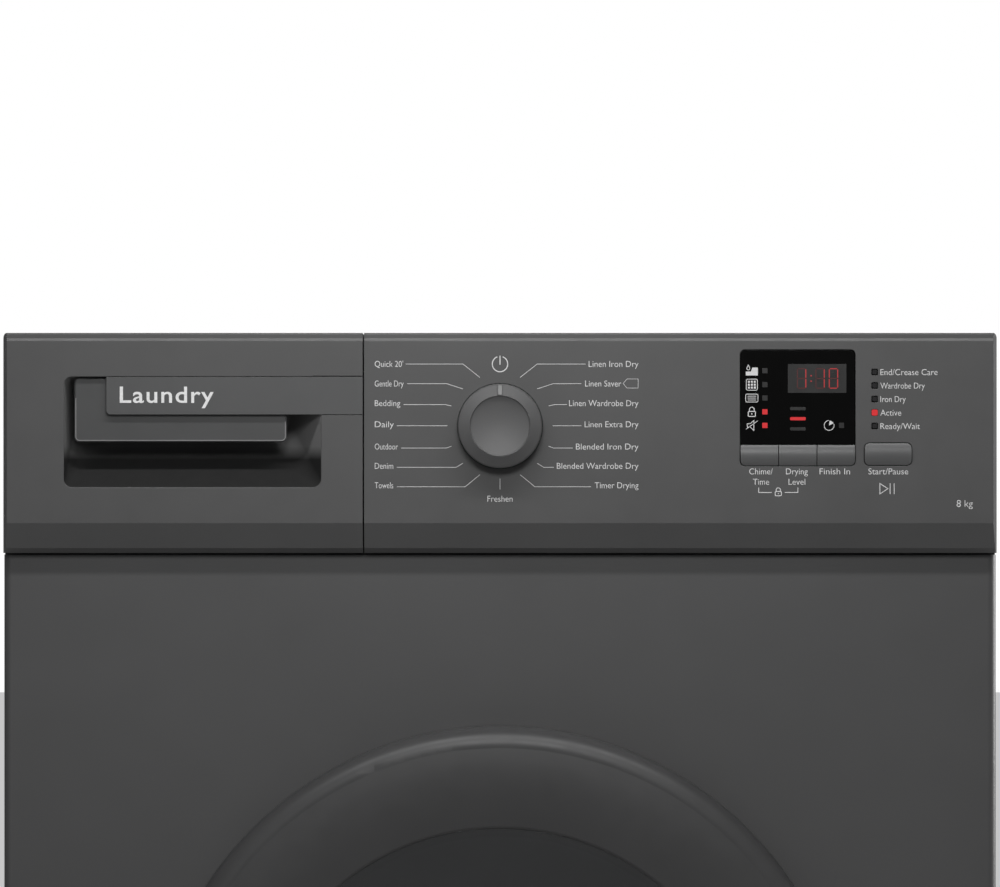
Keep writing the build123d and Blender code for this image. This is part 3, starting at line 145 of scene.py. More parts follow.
def add_floor():
    """Pale floor. It looks brighter to the camera, but throws only its real light back."""
    radius = 14.0
    glow_for_camera = 0.5
    mesh = bpy.data.meshes.new("floor")
    shape = bmesh.new()
    bmesh.ops.create_circle(shape, cap_ends=True, radius=radius, segments=96)
    shape.to_mesh(mesh)
    shape.free()
    floor = bpy.data.objects.new("floor", mesh)
    bpy.context.scene.collection.objects.link(floor)
    material = bpy.data.materials.new("floor")
    material.use_nodes = True
    shader = material.node_tree.nodes["Principled BSDF"]
    shader.inputs["Base Color"].default_value = grey(180)
    shader.inputs["Roughness"].default_value = 0.6
    shader.inputs["Emission Color"].default_value = (1, 1, 1, 1)
    ray = material.node_tree.nodes.new("ShaderNodeLightPath")
    glow_strength = material.node_tree.nodes.new("ShaderNodeMath")
    glow_strength.operation = "MULTIPLY"
    glow_strength.inputs[1].default_value = glow_for_camera
    material.node_tree.links.new(ray.outputs["Is Camera Ray"], glow_strength.inputs[0])
    material.node_tree.links.new(glow_strength.outputs["Value"], shader.inputs["Emission Strength"])
    mesh.materials.append(material)


bpy.context.scene.view_settings.view_transform = "Standard"
add_camera()
add_world()
add_floor()
# The key draws the bright line under the panel's top edge, and the one over the dial lights its face.
# The rest light the machine's sides and back.
add_area_light("key", (0.0, -0.8, 1.56), (0.0, -0.28, 0.78), (1.3, 0.08), 6.6)
add_area_light("over", (0.0, -1.3, 1.2), (0.0, -0.28, 0.78), (0.4, 0.25), 4.3)
add_area_light("right_rim", (1.7, 0.2, 0.95), (0.3, -0.2, 0.8), (0.4, 1.0), 20)
add_area_light("low_left", (-1.0, -1.9, 0.6), (0.0, -0.2, 0.6), (0.6, 0.5), 0.6)
add_area_light("left_back", (-1.4, 2.2, 1.3), (-0.3, 0.0, 0.5), (0.8, 1.2), 36, glossy=False)
add_area_light("back", (0.3, 2.6, 1.6), (0.0, 0.3, 0.45), (1.2, 1.2), 45)


# ---------------------------------------------------------------- materials
class Finish:
    """A procedural material under construction: one Principled shader and the textures on it."""

    def __init__(self, name):
        self.material = bpy.data.materials.new(name)
        self.material.use_nodes = True
        self.nodes = self.material.node_tree.nodes
        self.links = self.material.node_tree.links
        self.shader = self.nodes["Principled BSDF"]
        self.place = self.nodes.new("ShaderNodeTexCoord").outputs["Object"]
        self.normal = None

    def set(self, **values):
        """Sets sockets of the shader to one value all over; an underscore stands for a space."""
        for socket, value in values.items():
            self.shader.inputs[socket.replace("_", " ")].default_value = value

    def stretched(self, scale):
        """Coordinates scaled by three numbers."""
        mapping = self.nodes.new("ShaderNodeMapping")
        mapping.inputs["Scale"].default_value = scale
        self.links.new(self.place, mapping.inputs["Vector"])
        return mapping.outputs["Vector"]

    def noise(self, size, detail=2.0, place=None):
        """Noise whose features are about size metres across."""
        node = self.nodes.new("ShaderNodeTexNoise")
        node.inputs["Scale"].default_value = 1 / size
        node.inputs["Detail"].default_value = detail
        self.links.new(place or self.place, node.inputs["Vector"])
        return node.outputs["Fac"]

    def cells(self, size):
        """Cells about size metres across, as distances and as one random shade per cell."""
        node = self.nodes.new("ShaderNodeTexVoronoi")
        node.inputs["Scale"].default_value = 1 / size
        self.links.new(self.place, node.inputs["Vector"])
        return node

    def spread(self, texture, low, high, start=0.3, end=0.7):
        """Texture values from start to end, stretched to run from low to high."""
        node = self.nodes.new("ShaderNodeMapRange")
        for socket, value in (("From Min", start), ("From Max", end), ("To Min", low), ("To Max", high)):
            node.inputs[socket].default_value = value
        self.links.new(texture, node.inputs["Value"])
        return node.outputs["Result"]

    def colour(self, texture, dark, light, start=0.3, end=0.7):
        """Base colour that runs from dark to light with the texture."""
        ramp = self.nodes.new("ShaderNodeValToRGB")
        ramp.color_ramp.elements[0].position = start
        ramp.color_ramp.elements[0].color = dark
        ramp.color_ramp.elements[1].position = end
        ramp.color_ramp.elements[1].color = light
        self.links.new(texture, ramp.inputs["Fac"])
        self.links.new(ramp.outputs["Color"], self.shader.inputs["Base Color"])

    def roughness(self, texture, low, high):
        self.links.new(self.spread(texture, low, high), self.shader.inputs["Roughness"])

    def bump(self, texture, depth, strength=1.0):
        """Adds relief of the given depth, in metres, on top of what is there already."""
        node = self.nodes.new("ShaderNodeBump")
        node.inputs["Distance"].default_value = depth
        node.inputs["Strength"].default_value = strength
        self.links.new(texture, node.inputs["Height"])
        if self.normal:
            self.links.new(self.normal, node.inputs["Normal"])
        self.normal = node.outputs["Normal"]
        self.links.new(self.normal, self.shader.inputs["Normal"])

    def soft_edges(self, radius):
        """Rounds the look of sharp edges, as moulding and paint do."""
        node = self.nodes.new("ShaderNodeBevel")
        node.samples = 4
        node.inputs["Radius"].default_value = radius
        self.normal = node.outputs["Normal"]
        self.links.new(self.normal, self.shader.inputs["Normal"])


def shades(colour, contrast):
    """A darker and a lighter version of a colour."""
    dark = tuple(c * (1 - contrast) for c in colour[:3]) + (1.0,)
    light = tuple(min(1.0, c * (1 + contrast)) for c in colour[:3]) + (1.0,)
    return dark, light


def moulded_plastic(name, colour, rough, grain=0.00035, depth=0.00002, edge=0.0004, contrast=0.04):
    """Moulded plastic: fine spark-eroded grain, faint cloudiness and rounded edges."""
    finish = Finish(name)
    finish.soft_edges(edge)
    finish.colour(finish.noise(0.05, 3), *shades(colour, contrast))
    finish.roughness(finish.noise(0.012, 4), rough - 0.04, rough + 0.05)
    finish.bump(finish.noise(grain, 2), depth)
    finish.set(Specular_IOR_Level=0.45)
    return finish


def inside(finish, low, high):
    """1 inside a box in the machine's own frame and 0 outside it."""
    split = finish.nodes.new("ShaderNodeSeparateXYZ")
    finish.links.new(finish.place, split.inputs["Vector"])
    product = None
    for axis in range(3):
        for operation, limit in (("GREATER_THAN", low[axis]), ("LESS_THAN", high[axis])):
            test = finish.nodes.new("ShaderNodeMath")
            test.operation = operation
            test.inputs[1].default_value = limit
            finish.links.new(split.outputs[axis], test.inputs[0])
            if product:
                both = finish.nodes.new("ShaderNodeMath")
                both.operation = "MULTIPLY"
                finish.links.new(product, both.inputs[0])
                finish.links.new(test.outputs["Value"], both.inputs[1])
                product = both.outputs["Value"]
            else:
                product = test.outputs["Value"]
    return product


def moulding_with_painted_pocket_shade(name, outer, slope, painted_light_walls, rough, low, high):
    """Moulding with a coarse matt recess, inside a box, whose colour there carries painted shade and
    painted light: its sloping floor is painted darker and the rest of the recess lighter.
    """
    slope_top, wall_foot = 0.017, 0.025  # metres above the foot of the box
    extra_roughness = 0.4
    finish = moulded_plastic(name, outer, rough, edge=0.0006)
    recess = inside(finish, low, high)
    split = finish.nodes.new("ShaderNodeSeparateXYZ")
    finish.links.new(finish.place, split.inputs["Vector"])
    # painted shade on the recess's sloping floor, and painted light above it, where the grip plate's
    # shadow falls
    painted_pocket_tone = finish.nodes.new("ShaderNodeValToRGB")
    painted_pocket_tone.color_ramp.elements[0].color = (slope, slope, slope, 1.0)
    painted_pocket_tone.color_ramp.elements[1].color = (painted_light_walls, painted_light_walls, painted_light_walls, 1.0)
    above_slope = finish.spread(split.outputs["Z"], 0, 1, low[2] + slope_top, low[2] + wall_foot)
    finish.links.new(above_slope, painted_pocket_tone.inputs["Fac"])
    colour = finish.nodes.new("ShaderNodeMix")
    colour.data_type = "RGBA"
    finish.links.new(recess, colour.inputs["Factor"])
    finish.links.new(finish.shader.inputs["Base Color"].links[0].from_socket, colour.inputs["A"])
    finish.links.new(painted_pocket_tone.outputs["Color"], colour.inputs["B"])
    finish.links.new(colour.outputs["Result"], finish.shader.inputs["Base Color"])
    matt = finish.nodes.new("ShaderNodeMath")
    matt.operation = "MULTIPLY_ADD"
    matt.inputs[1].default_value = extra_roughness
    finish.links.new(recess, matt.inputs[0])
    finish.links.new(finish.shader.inputs["Roughness"].links[0].from_socket, matt.inputs[2])
    finish.links.new(matt.outputs["Value"], finish.shader.inputs["Roughness"])
    return finish


def painted_steel(name, colour, rough):
    """Powder paint on sheet steel, with the faint orange peel that it has."""
    finish = Finish(name)
    finish.soft_edges(0.0006)
    finish.colour(finish.noise(0.12, 2), *shades(colour, 0.03))
    finish.roughness(finish.noise(0.03, 3), rough - 0.015, rough + 0.02)
    finish.bump(finish.noise(0.0022, 2), 0.00003, 0.6)
    finish.set(Coat_Weight=0.12, Coat_Roughness=0.25)
    return finish


def metal(name, colour, rough, stretch=(1, 1, 1), size=0.002, contrast=0.08, depth=0.00001):
    """Bare metal, with grain drawn out along the axes that stretch makes small."""
    finish = Finish(name)
    grain = finish.noise(size, 4, finish.stretched(stretch))
    finish.colour(grain, *shades(colour, contrast))
    finish.roughness(grain, rough - 0.08, rough + 0.1)
    finish.bump(grain, depth)
    finish.set(Metallic=1.0)
    return finish


def galvanised(name, colour):
    """Hot-dip galvanised sheet with its spangle."""
    finish = Finish(name)
    spangle = finish.cells(0.011)
    single = finish.nodes.new("ShaderNodeSeparateColor")
    finish.links.new(spangle.outputs["Color"], single.inputs["Color"])
    finish.colour(single.outputs["Red"], *shades(colour, 0.14), 0.0, 1.0)
    finish.roughness(single.outputs["Green"], 0.36, 0.52)
    finish.bump(finish.noise(0.004, 3), 0.00002)
    finish.set(Metallic=0.85)
    return finish


def rubber(name, colour, rough=0.62):
    finish = moulded_plastic(name, colour, rough, grain=0.0006, depth=0.00004, edge=0.0006, contrast=0.1)
    finish.set(Specular_IOR_Level=0.3, Sheen_Weight=0.08)
    return finish


def felt(name, colour):
    """Pressed wool: short fibres that lie every way."""
    finish = Finish(name)
    fibres = finish.noise(0.0012, 6, finish.stretched((1, 2.5, 1)))
    finish.colour(fibres, *shades(colour, 0.25))
    finish.roughness(fibres, 0.85, 1.0)
    finish.bump(fibres, 0.0004)
    finish.set(Sheen_Weight=0.4, Sheen_Roughness=0.5)
    return finish


def smoked_glass(name, colour, rough, weight):
    """Dark glass that shows a little of what is behind it."""
    finish = Finish(name)
    finish.soft_edges(0.0004)
    finish.colour(finish.noise(0.08, 2), *shades(colour, 0.08))
    finish.roughness(finish.noise(0.02, 3), rough, rough + 0.03)
    finish.bump(finish.noise(0.09, 1), 0.00006, 0.4)
    finish.set(Transmission_Weight=weight, IOR=1.5, Coat_Weight=1.0, Coat_Roughness=0.03, Coat_IOR=1.8)
    return finish


def circuit_board(name):
    """Green solder resist with copper tracks just showing through it."""
    finish = Finish(name)
    tracks = finish.nodes.new("ShaderNodeTexBrick")
    tracks.inputs["Scale"].default_value = 180
    tracks.inputs["Color1"].default_value = rgb(22, 92, 58)
    tracks.inputs["Color2"].default_value = rgb(28, 108, 66)
    tracks.inputs["Mortar"].default_value = rgb(16, 70, 44)
    turned = finish.nodes.new("ShaderNodeMapping")
    turned.inputs["Rotation"].default_value = (math.pi / 2, 0, 0)
    finish.links.new(finish.place, turned.inputs["Vector"])
    finish.links.new(turned.outputs["Vector"], tracks.inputs["Vector"])
    finish.links.new(tracks.outputs["Color"], finish.shader.inputs["Base Color"])
    finish.bump(tracks.outputs["Fac"], 0.00003)
    finish.roughness(finish.noise(0.004, 2), 0.3, 0.42)
    return finish


def ink(name, colour):
    """Screen-printed ink: slightly uneven, a touch raised."""
    finish = Finish(name)
    finish.colour(finish.noise(0.0015, 3), *shades(colour, 0.06))
    finish.roughness(finish.noise(0.001, 2), 0.45, 0.6)
    finish.bump(finish.noise(0.0004, 2), 0.00001)
    return finish


def glow(name, colour, strength, body):
    """A lit lamp: plastic that gives off light of one colour."""
    finish = Finish(name)
    finish.colour(finish.noise(0.002, 2), *shades(body, 0.1))
    finish.roughness(finish.noise(0.001, 2), 0.3, 0.4)
    finish.set(Emission_Color=colour, Emission_Strength=strength)
    return finish


PANEL_GREY = (0.085, 0.085, 0.0855)
FINISHES = {
    "cabinet_paint": painted_steel("cabinet_paint", (0.083, 0.083, 0.084), 0.42),
    "galvanised_steel": galvanised("galvanised_steel", (0.52, 0.53, 0.54)),
    "worktop_laminate": moulded_plastic(
        "worktop_laminate", (0.085, 0.086, 0.088), 0.4, grain=0.0011, depth=0.00005, edge=0.0006
    ),
    "graphite_plastic": moulded_plastic("graphite_plastic", PANEL_GREY, 0.42, edge=0.0006),
    "knob_plastic": moulded_plastic("knob_plastic", (0.122, 0.122, 0.123), 0.52, edge=0.0004),
    "strip_plastic": moulded_plastic("strip_plastic", (0.088, 0.089, 0.09), 0.4),
    "grip_plastic": moulded_plastic("grip_plastic", (0.07, 0.071, 0.072), 0.42, edge=0.0006),
    "button_plastic": moulded_plastic("button_plastic", (0.105, 0.106, 0.107), 0.34),
    "display_black": moulded_plastic(
        "display_black", (0.0025, 0.0025, 0.0025), 0.1, depth=0.000002, edge=0.0003
    ),
    "lamp_lens": moulded_plastic("lamp_lens", (0.02, 0.02, 0.021), 0.25, edge=0.0003),
    "circuit_board": circuit_board("circuit_board"),
    "door_plastic": moulded_plastic(
        "door_plastic", (0.06, 0.06, 0.061), 0.42, grain=0.0008, depth=0.000006, edge=0.0006
    ),
    "door_glass": smoked_glass("door_glass", (0.16, 0.165, 0.17), 0.03, 0.85),
    "inner_plastic": moulded_plastic("inner_plastic", (0.2, 0.2, 0.205), 0.45),
    "tank_plastic": moulded_plastic("tank_plastic", (0.55, 0.56, 0.57), 0.38),
    "flap_plastic": moulded_plastic("flap_plastic", (0.085, 0.086, 0.088), 0.42),
    "lever_plastic": moulded_plastic("lever_plastic", (0.05, 0.2, 0.45), 0.38),
    "filter_plastic": moulded_plastic("filter_plastic", (0.3, 0.31, 0.32), 0.42),
    "seal_rubber": rubber("seal_rubber", (0.04, 0.04, 0.041)),
    "felt": felt("felt", (0.55, 0.53, 0.48)),
    "foot_rubber": rubber("foot_rubber", (0.03, 0.03, 0.03)),
    "bright_steel": metal("bright_steel", (0.6, 0.6, 0.6), 0.32),
    "drum_steel": metal("drum_steel", (0.62, 0.62, 0.63), 0.3, stretch=(1, 0.06, 1), size=0.0015),
    "lifter_plastic": moulded_plastic("lifter_plastic", (0.45, 0.46, 0.47), 0.4),
    "roller_rubber": rubber("roller_rubber", (0.08, 0.08, 0.08)),
    "wheel_plastic": moulded_plastic("wheel_plastic", (0.25, 0.25, 0.25), 0.42),
    "motor_aluminium": metal("motor_aluminium", (0.45, 0.45, 0.46), 0.48, size=0.003, depth=0.00008),
    "condenser_aluminium": metal("condenser_aluminium", (0.7, 0.7, 0.71), 0.35, stretch=(0.1, 1, 1)),
    "heater_steel": metal("heater_steel", (0.35, 0.3, 0.25), 0.45, size=0.008, contrast=0.3),
}
# The tank's finger pocket, from just behind the moulding's face to its back wall. In it, the moulding
# carries painted shade on its sloping floor and painted light higher up.
TANK_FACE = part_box("tank_front")[0].y
POCKET_LOW = (-0.2605, TANK_FACE + 0.0004, 0.7574)
POCKET_HIGH = (-0.1063, TANK_FACE + 0.037, 0.8243)
NODE_FINISHES = {
    "tank_front": moulding_with_painted_pocket_shade(
        "tank_front_plastic", PANEL_GREY, 0.01, 0.19, 0.42, POCKET_LOW, POCKET_HIGH
    ),
}
PRINT_WHITE = ink("print_white", (0.72, 0.72, 0.72)).material
MARK_SILVER = ink("mark_silver", (0.85, 0.85, 0.85)).material
POINTER_SILVER = moulded_plastic("pointer_silver", (0.26, 0.26, 0.26), 0.35, edge=0.0002).material
# painted highlight along the edge of the tank's grip plate
PAINTED_HIGHLIGHT_GREY = moulded_plastic("painted_highlight_grey", (0.3, 0.3, 0.3), 0.3, edge=0.0001).material
SCREEN_GREY = moulded_plastic("screen_grey", (0.028, 0.028, 0.028), 0.3, edge=0.0001).material
LED_RED = glow("led_red", (1.0, 0.03, 0.04, 1.0), 0.5, (0.15, 0.01, 0.01)).material
LED_FIGURE = glow("led_figure", (1.0, 0.06, 0.07, 1.0), 0.36, (0.08, 0.01, 0.01)).material
LED_DIM = glow("led_dim", (0.2, 0.012, 0.014, 1.0), 0.2, (0.04, 0.015, 0.015)).material
LED_OFF = moulded_plastic("led_off", (0.03, 0.03, 0.03), 0.3, edge=0.0002).material
FINISHES["display_black"].set(Specular_IOR_Level=0.22)


def finish_nodes():
    """Gives every CAD node the material of its slot."""
    for part in frame["record"]["subparts"]:
        finish = NODE_FINISHES.get(part["node"]) or FINISHES[part["material_slot"]]
        for slot in NODES[part["node"]].material_slots:
            slot.material = finish.material


finish_nodes()


# ---------------------------------------------------------------- artwork in millimetres
CAPITAL_HEIGHT = 0.69  # of the built-in typeface, at size 1
CONDENSED = 0.8
THIN = -0.004  # how far the outline of small letters is drawn in, at size 1


class Artwork:
    """Thin closed shapes laid on a face that looks to the front, as one piece.

    Outlines are (x, z) in millimetres. The back of the shapes lies on the face at depth face,
    in metres, and they stand proud of it by height.
    """

    def __init__(self, name, face, height=0.00004, lift=0.00001):
        self.name = name
        self.mesh = bmesh.new()
        self.back = face - lift
        self.front = face - lift - height

    def band(self, inner, outer, closed):
        """Closed shape between two rows of points."""
        rows = []
        for line, y in ((outer, self.front), (inner, self.front), (inner, self.back), (outer, self.back)):
            rows.append([self.mesh.verts.new((x * MM, y, z * MM)) for x, z in line])
        count = len(inner)
        for n in range(count if closed else count - 1):
            after = (n + 1) % count
            for a, b in zip(rows, rows[1:] + rows[:1]):
                self.mesh.faces.new((a[n], b[n], b[after], a[after]))
        if not closed:
            for n in (0, count - 1):
                self.mesh.faces.new([row[n] for row in rows])

    def fill(self, outline):
        """Closed shape with the given outline."""
        front = [self.mesh.verts.new((x * MM, self.front, z * MM)) for x, z in outline]
        back = [self.mesh.verts.new((x * MM, self.back, z * MM)) for x, z in outline]
        self.mesh.faces.new(front)
        self.mesh.faces.new(list(reversed(back)))
        for n in range(len(outline)):
            after = (n + 1) % len(outline)
            self.mesh.faces.new((front[n], back[n], back[after], front[after]))

    def stroke(self, points, width, closed=False):
        """Line of even width through the points, with mitred corners."""
        count = len(points)
        inner, outer = [], []
        for n, (x, z) in enumerate(points):
            before = points[n - 1] if n or closed else None
            after = points[(n + 1) % count] if n < count - 1 or closed else None
            normals = []
            for a, b in ((before, (x, z)), ((x, z), after)):
                if a and b:
                    along = Vector((b[0] - a[0], b[1] - a[1])).normalized()
                    normals.append(Vector((-along.y, along.x)))
            out = sum(normals, Vector((0, 0))).normalized()
            reach = width / 2 / max(0.3, out.dot(normals[0]))
            inner.append((x + out.x * reach, z + out.y * reach))
            outer.append((x - out.x * reach, z - out.y * reach))
        self.band(inner, outer, closed)

    def words(
        self, text, z, height, left=None, right=None, centre=None, width=None, weight=THIN, spacing=1.0
    ):
        """Text whose capitals are height tall and stand on z, fitted to width if it is given."""
        glyphs = text_shape(text, weight, spacing)
        low = min(v.co.x for v in glyphs.verts)
        high = max(v.co.x for v in glyphs.verts)
        tall = height / CAPITAL_HEIGHT
        if left is not None and right is not None:
            width = right - left
        wide = width / (high - low) if width else tall * CONDENSED
        span = (high - low) * wide
        if left is None:
            left = right - span if right is not None else centre - span / 2
        copies = {}
        for v in glyphs.verts:
            depth = self.front if v.co.z > 0 else self.back
            place = ((left + (v.co.x - low) * wide) * MM, depth, (z + v.co.y * tall) * MM)
            copies[v] = self.mesh.verts.new(place)
        for f in glyphs.faces:
            self.mesh.faces.new([copies[v] for v in f.verts])
        glyphs.free()

    def finish(self, body, material, slot=None):
        """Makes the object, on its body and with its material."""
        bmesh.ops.recalc_face_normals(self.mesh, faces=self.mesh.faces)
        mesh = bpy.data.meshes.new(self.name)
        self.mesh.to_mesh(mesh)
        self.mesh.free()
        mesh.materials.append(material)
        piece = bpy.data.objects.new(self.name, mesh)
        bpy.context.scene.collection.objects.link(piece)
        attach(piece, body)
        return piece


def text_shape(text, weight, spacing):
    """Closed mesh of text in the built-in typeface, at size 1, from z -0.01 to 0.01."""
    curve = bpy.data.curves.new("text", "FONT")
    curve.body = text
    curve.resolution_u = 4
    curve.extrude = 0.01
    curve.offset = weight
    curve.space_character = spacing
    holder = bpy.data.objects.new("text", curve)
    bpy.context.scene.collection.objects.link(holder)
    bpy.context.view_layer.update()
    mesh = bpy.data.meshes.new_from_object(holder.evaluated_get(bpy.context.evaluated_depsgraph_get()))
    shape = bmesh.new()
    shape.from_mesh(mesh)
    bmesh.ops.remove_doubles(shape, verts=shape.verts, dist=0.0005)
    bpy.data.objects.remove(holder)
    bpy.data.curves.remove(curve)
    bpy.data.meshes.remove(mesh)
    return shape


def arc(centre, radius, start, end, steps=32):
    """Points round part of a circle; angles are in degrees, counter-clockwise from +X."""
    turns = [math.radians(start + (end - start) * n / steps) for n in range(steps + 1)]
    return [(centre[0] + radius * math.cos(t), centre[1] + radius * math.sin(t)) for t in turns]


def ring(centre, radius, steps=40):
    return arc(centre, radius, 0, 360, steps)[:-1]


def rectangle(centre, width, height, corner=0.0):
    """Outline of a rectangle with rounded corners."""
    x, z = width / 2 - corner, height / 2 - corner
    if corner == 0:
        return [(centre[0] + i * x, centre[1] + j * z) for i, j in ((1, 1), (-1, 1), (-1, -1), (1, -1))]
    points = []
    for n, (i, j) in enumerate(((1, 1), (-1, 1), (-1, -1), (1, -1))):
        points += arc((centre[0] + i * x, centre[1] + j * z), corner, 90 * n, 90 * n + 90, 6)
    return points


# ---------------------------------------------------------------- programme dial artwork
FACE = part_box("control_fascia")[0].y
LINE = 0.31
LETTER = 3.6
KNOB = (0.0, 794.4)
LEADER_RADIUS = 31.4
LEADER_STEP = 22.5  # degrees round the knob from one programme to the next
DIAL_ROWS = (831.4, 819.7, 807.2, 794.6, 781.3, 769.8, 758.2)
# how far from the middle each leader line bends; the fourth is straight
ELBOWS = (22.1, 31.8, 32.6, None, 32.0, 26.1, 20.8)
# each label, the end of it that is nearer the knob, and where its leader line starts
LEFT_LABELS = (
    ("Quick 20'", -57.8, -56.3),
    ("Gentle Dry", -57.5, -55.4),
    ("Bedding", -59.5, -57.5),
    ("Daily", -63.3, -61.5),
    ("Outdoor", -60.9, -58.9),
    ("Denim", -63.7, -61.5),
    ("Towels", -63.7, -61.5),
)
RIGHT_LABELS = (
    ("Linen Iron Dry", 52.9, 51.1),
    ("Linen Saver", 50.8, 48.5),
    ("Linen Wardrobe Dry", 41.2, 39.9),
    ("Linen Extra Dry", 50.5, 48.5),
    ("Blended Iron Dry", 45.3, 43.4),
    ("Blended Wardrobe Dry", 33.9, 32.1),
    ("Timer Drying", 56.5, 54.2),
)
LABEL_EDGES = (-74.7, 82.6)
PENNANT_ROW = 1
PENNANT_ROOM = 10.3


def leader(artwork, side, row, start):
    """Line from a label to its place around the knob."""
    angle = math.radians(90 - LEADER_STEP * (row + 1))
    end = (side * LEADER_RADIUS * math.cos(angle), KNOB[1] + LEADER_RADIUS * math.sin(angle))
    points = [(start, DIAL_ROWS[row])]
    if ELBOWS[row]:
        points.append((side * ELBOWS[row], DIAL_ROWS[row]))
    points.append(end if ELBOWS[row] else (end[0], DIAL_ROWS[row]))
    artwork.stroke(points, LINE)


def dial_artwork():
    """Programme names round the knob, with their leader lines and the power symbol."""
    labels = Artwork("programme_labels", FACE)
    lines = Artwork("programme_leader_lines", FACE)
    for row, z in enumerate(DIAL_ROWS):
        raised = 0.1 if row < 2 else 0.9
        base = z - LETTER / 2 + raised
        text, text_end, start = LEFT_LABELS[row]
        labels.words(text, base, LETTER, left=LABEL_EDGES[0], right=text_end)
        leader(lines, -1, row, start)
        text, text_end, start = RIGHT_LABELS[row]
        right = LABEL_EDGES[1] - (PENNANT_ROOM if row == PENNANT_ROW else 0)
        labels.words(text, base, LETTER, left=text_end, right=right)
        leader(lines, 1, row, start)
    labels.words("Freshen", 749.3, LETTER, centre=0, width=15)
    lines.stroke([(0, 763.1), (0, 756.6)], LINE)
    # pennant outline beside the saving programme
    tip, shoulder, end = 73.5, 75.7, 82.4
    middle, half = 819.8, 2.7
    pennant = [(tip, middle), (shoulder, middle + half), (end, middle + half)]
    pennant += [(end, middle - half), (shoulder, middle - half)]
    lines.stroke(pennant, LINE * 0.8, closed=True)
    labels.finish("cabinet", PRINT_WHITE)
    lines.finish("cabinet", PRINT_WHITE)

    power = Artwork("power_icon", FACE)
    power_line = 0.6
    power.stroke(arc((0, 831.4), 4.6, 110, 430, 48), power_line)
    power.stroke([(0, 836.4), (0, 831.0)], power_line)
    power.finish("cabinet", PRINT_WHITE)


dial_artwork()


# ---------------------------------------------------------------- lamps and button artwork
LAMP_X = 223.5
LAMP_ROWS = [826.6 - 8.05 * n for n in range(5)]
LIT_LAMP = 3
# each lamp's label and its right end
LAMP_LABELS = (
    ("End/Crease Care", 261.0),
    ("Wardrobe Dry", 253.4),
    ("Iron Dry", 242.0),
    ("Active", 239.3),
    ("Ready/Wait", 250.5),
)
# each label's words, middle, foot and width
BUTTON_LABELS = (
    ("Chime/", 155.7, 765.6, 14.0),
    ("Time", 155.7, 759.4, 9.6),
    ("Drying", 177.1, 765.6, 13.0),
    ("Level", 177.1, 759.4, 10.0),
    ("Finish In", 199.7, 765.6, 18.2),
    ("Start/Pause", 231.6, 765.6, 23.8),
)


def padlock(artwork, centre, width, height, line):
    """Padlock outline with its shackle and keyhole."""
    x, z = centre
    body_height = height * 0.58
    body = (x, z - (height - body_height) / 2)
    artwork.stroke(rectangle(body, width - line, body_height - line, 0.5), line, closed=True)
    shackle = width * 0.3
    foot = body[1] + body_height / 2
    rise = height - body_height - shackle - line / 2
    points = [(x + shackle, foot)] + arc((x, foot + rise), shackle, 0, 180, 16) + [(x - shackle, foot)]
    artwork.stroke(points, line)
    artwork.fill(ring(body, width * 0.09, 12))


def button_artwork():
    """Names of the lamps and the buttons, the load, and the symbols under the buttons."""
    labels = Artwork("button_labels", FACE)
    for text, centre, base, width in BUTTON_LABELS:
        labels.words(text, base, LETTER, centre=centre, width=width)
    labels.words("8 kg", 746.2, 4.1, left=272.4, right=282.0)
    for (text, right), z in zip(LAMP_LABELS, LAMP_ROWS):
        labels.words(text, z - LETTER / 2, LETTER, left=226.9, right=right)
    labels.finish("cabinet", PRINT_WHITE)

    icons = Artwork("button_icons", FACE)
    icon_line = 0.45
    # padlock, with a bracket that reaches to the two buttons above it
    lock_x, lock_z = 166.0, 755.2
    bracket_top, bracket_foot = 757.7, 754.8
    for side in (-1, 1):
        far, near = lock_x + side * 11.7, lock_x + side * 3.9
        icons.stroke([(far, bracket_top), (far, bracket_foot), (near, bracket_foot)], icon_line)
    padlock(icons, (lock_x, lock_z), 4.2, 5.2, 0.5)
    # start and pause: a triangle and two bars
    middle = 757.05
    icons.stroke([(226.6, middle + 3.1), (231.4, middle), (226.6, middle - 3.1)], icon_line, closed=True)
    for x in (232.7, 235.1):
        icons.stroke([(x, middle + 3.2), (x, middle - 3.2)], icon_line)
    icons.finish("cabinet", PRINT_WHITE)


def lit_lamp():
    """The lamp that is on: a red lens, a little proud of the panel."""
    lamp = Artwork("lamp_lit", FACE, height=0.00025)
    lamp.fill(rectangle((LAMP_X, LAMP_ROWS[LIT_LAMP]), 3.6, 3.6, 0.9))
    lamp.finish("cabinet", LED_RED, "lamp_lens")


button_artwork()
lit_lamp()


# ---------------------------------------------------------------- display
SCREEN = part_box("display_window")[0].y
ICON_LINE = 0.4
ICON_X = 150.2
ICON_ROWS = (827.4, 819.1, 811.1, 802.9, 794.8)
FIRST_LIT_ICON = 3
ICON_LED_X = 158.0
DELAY_LED_X = 203.7
LED_SIZE = 3.1
BAR_X = 177.7
BAR_ROWS = (804.8, 798.8, 792.7)
LIT_BAR = 1
READOUT = (189.15, 822.8)


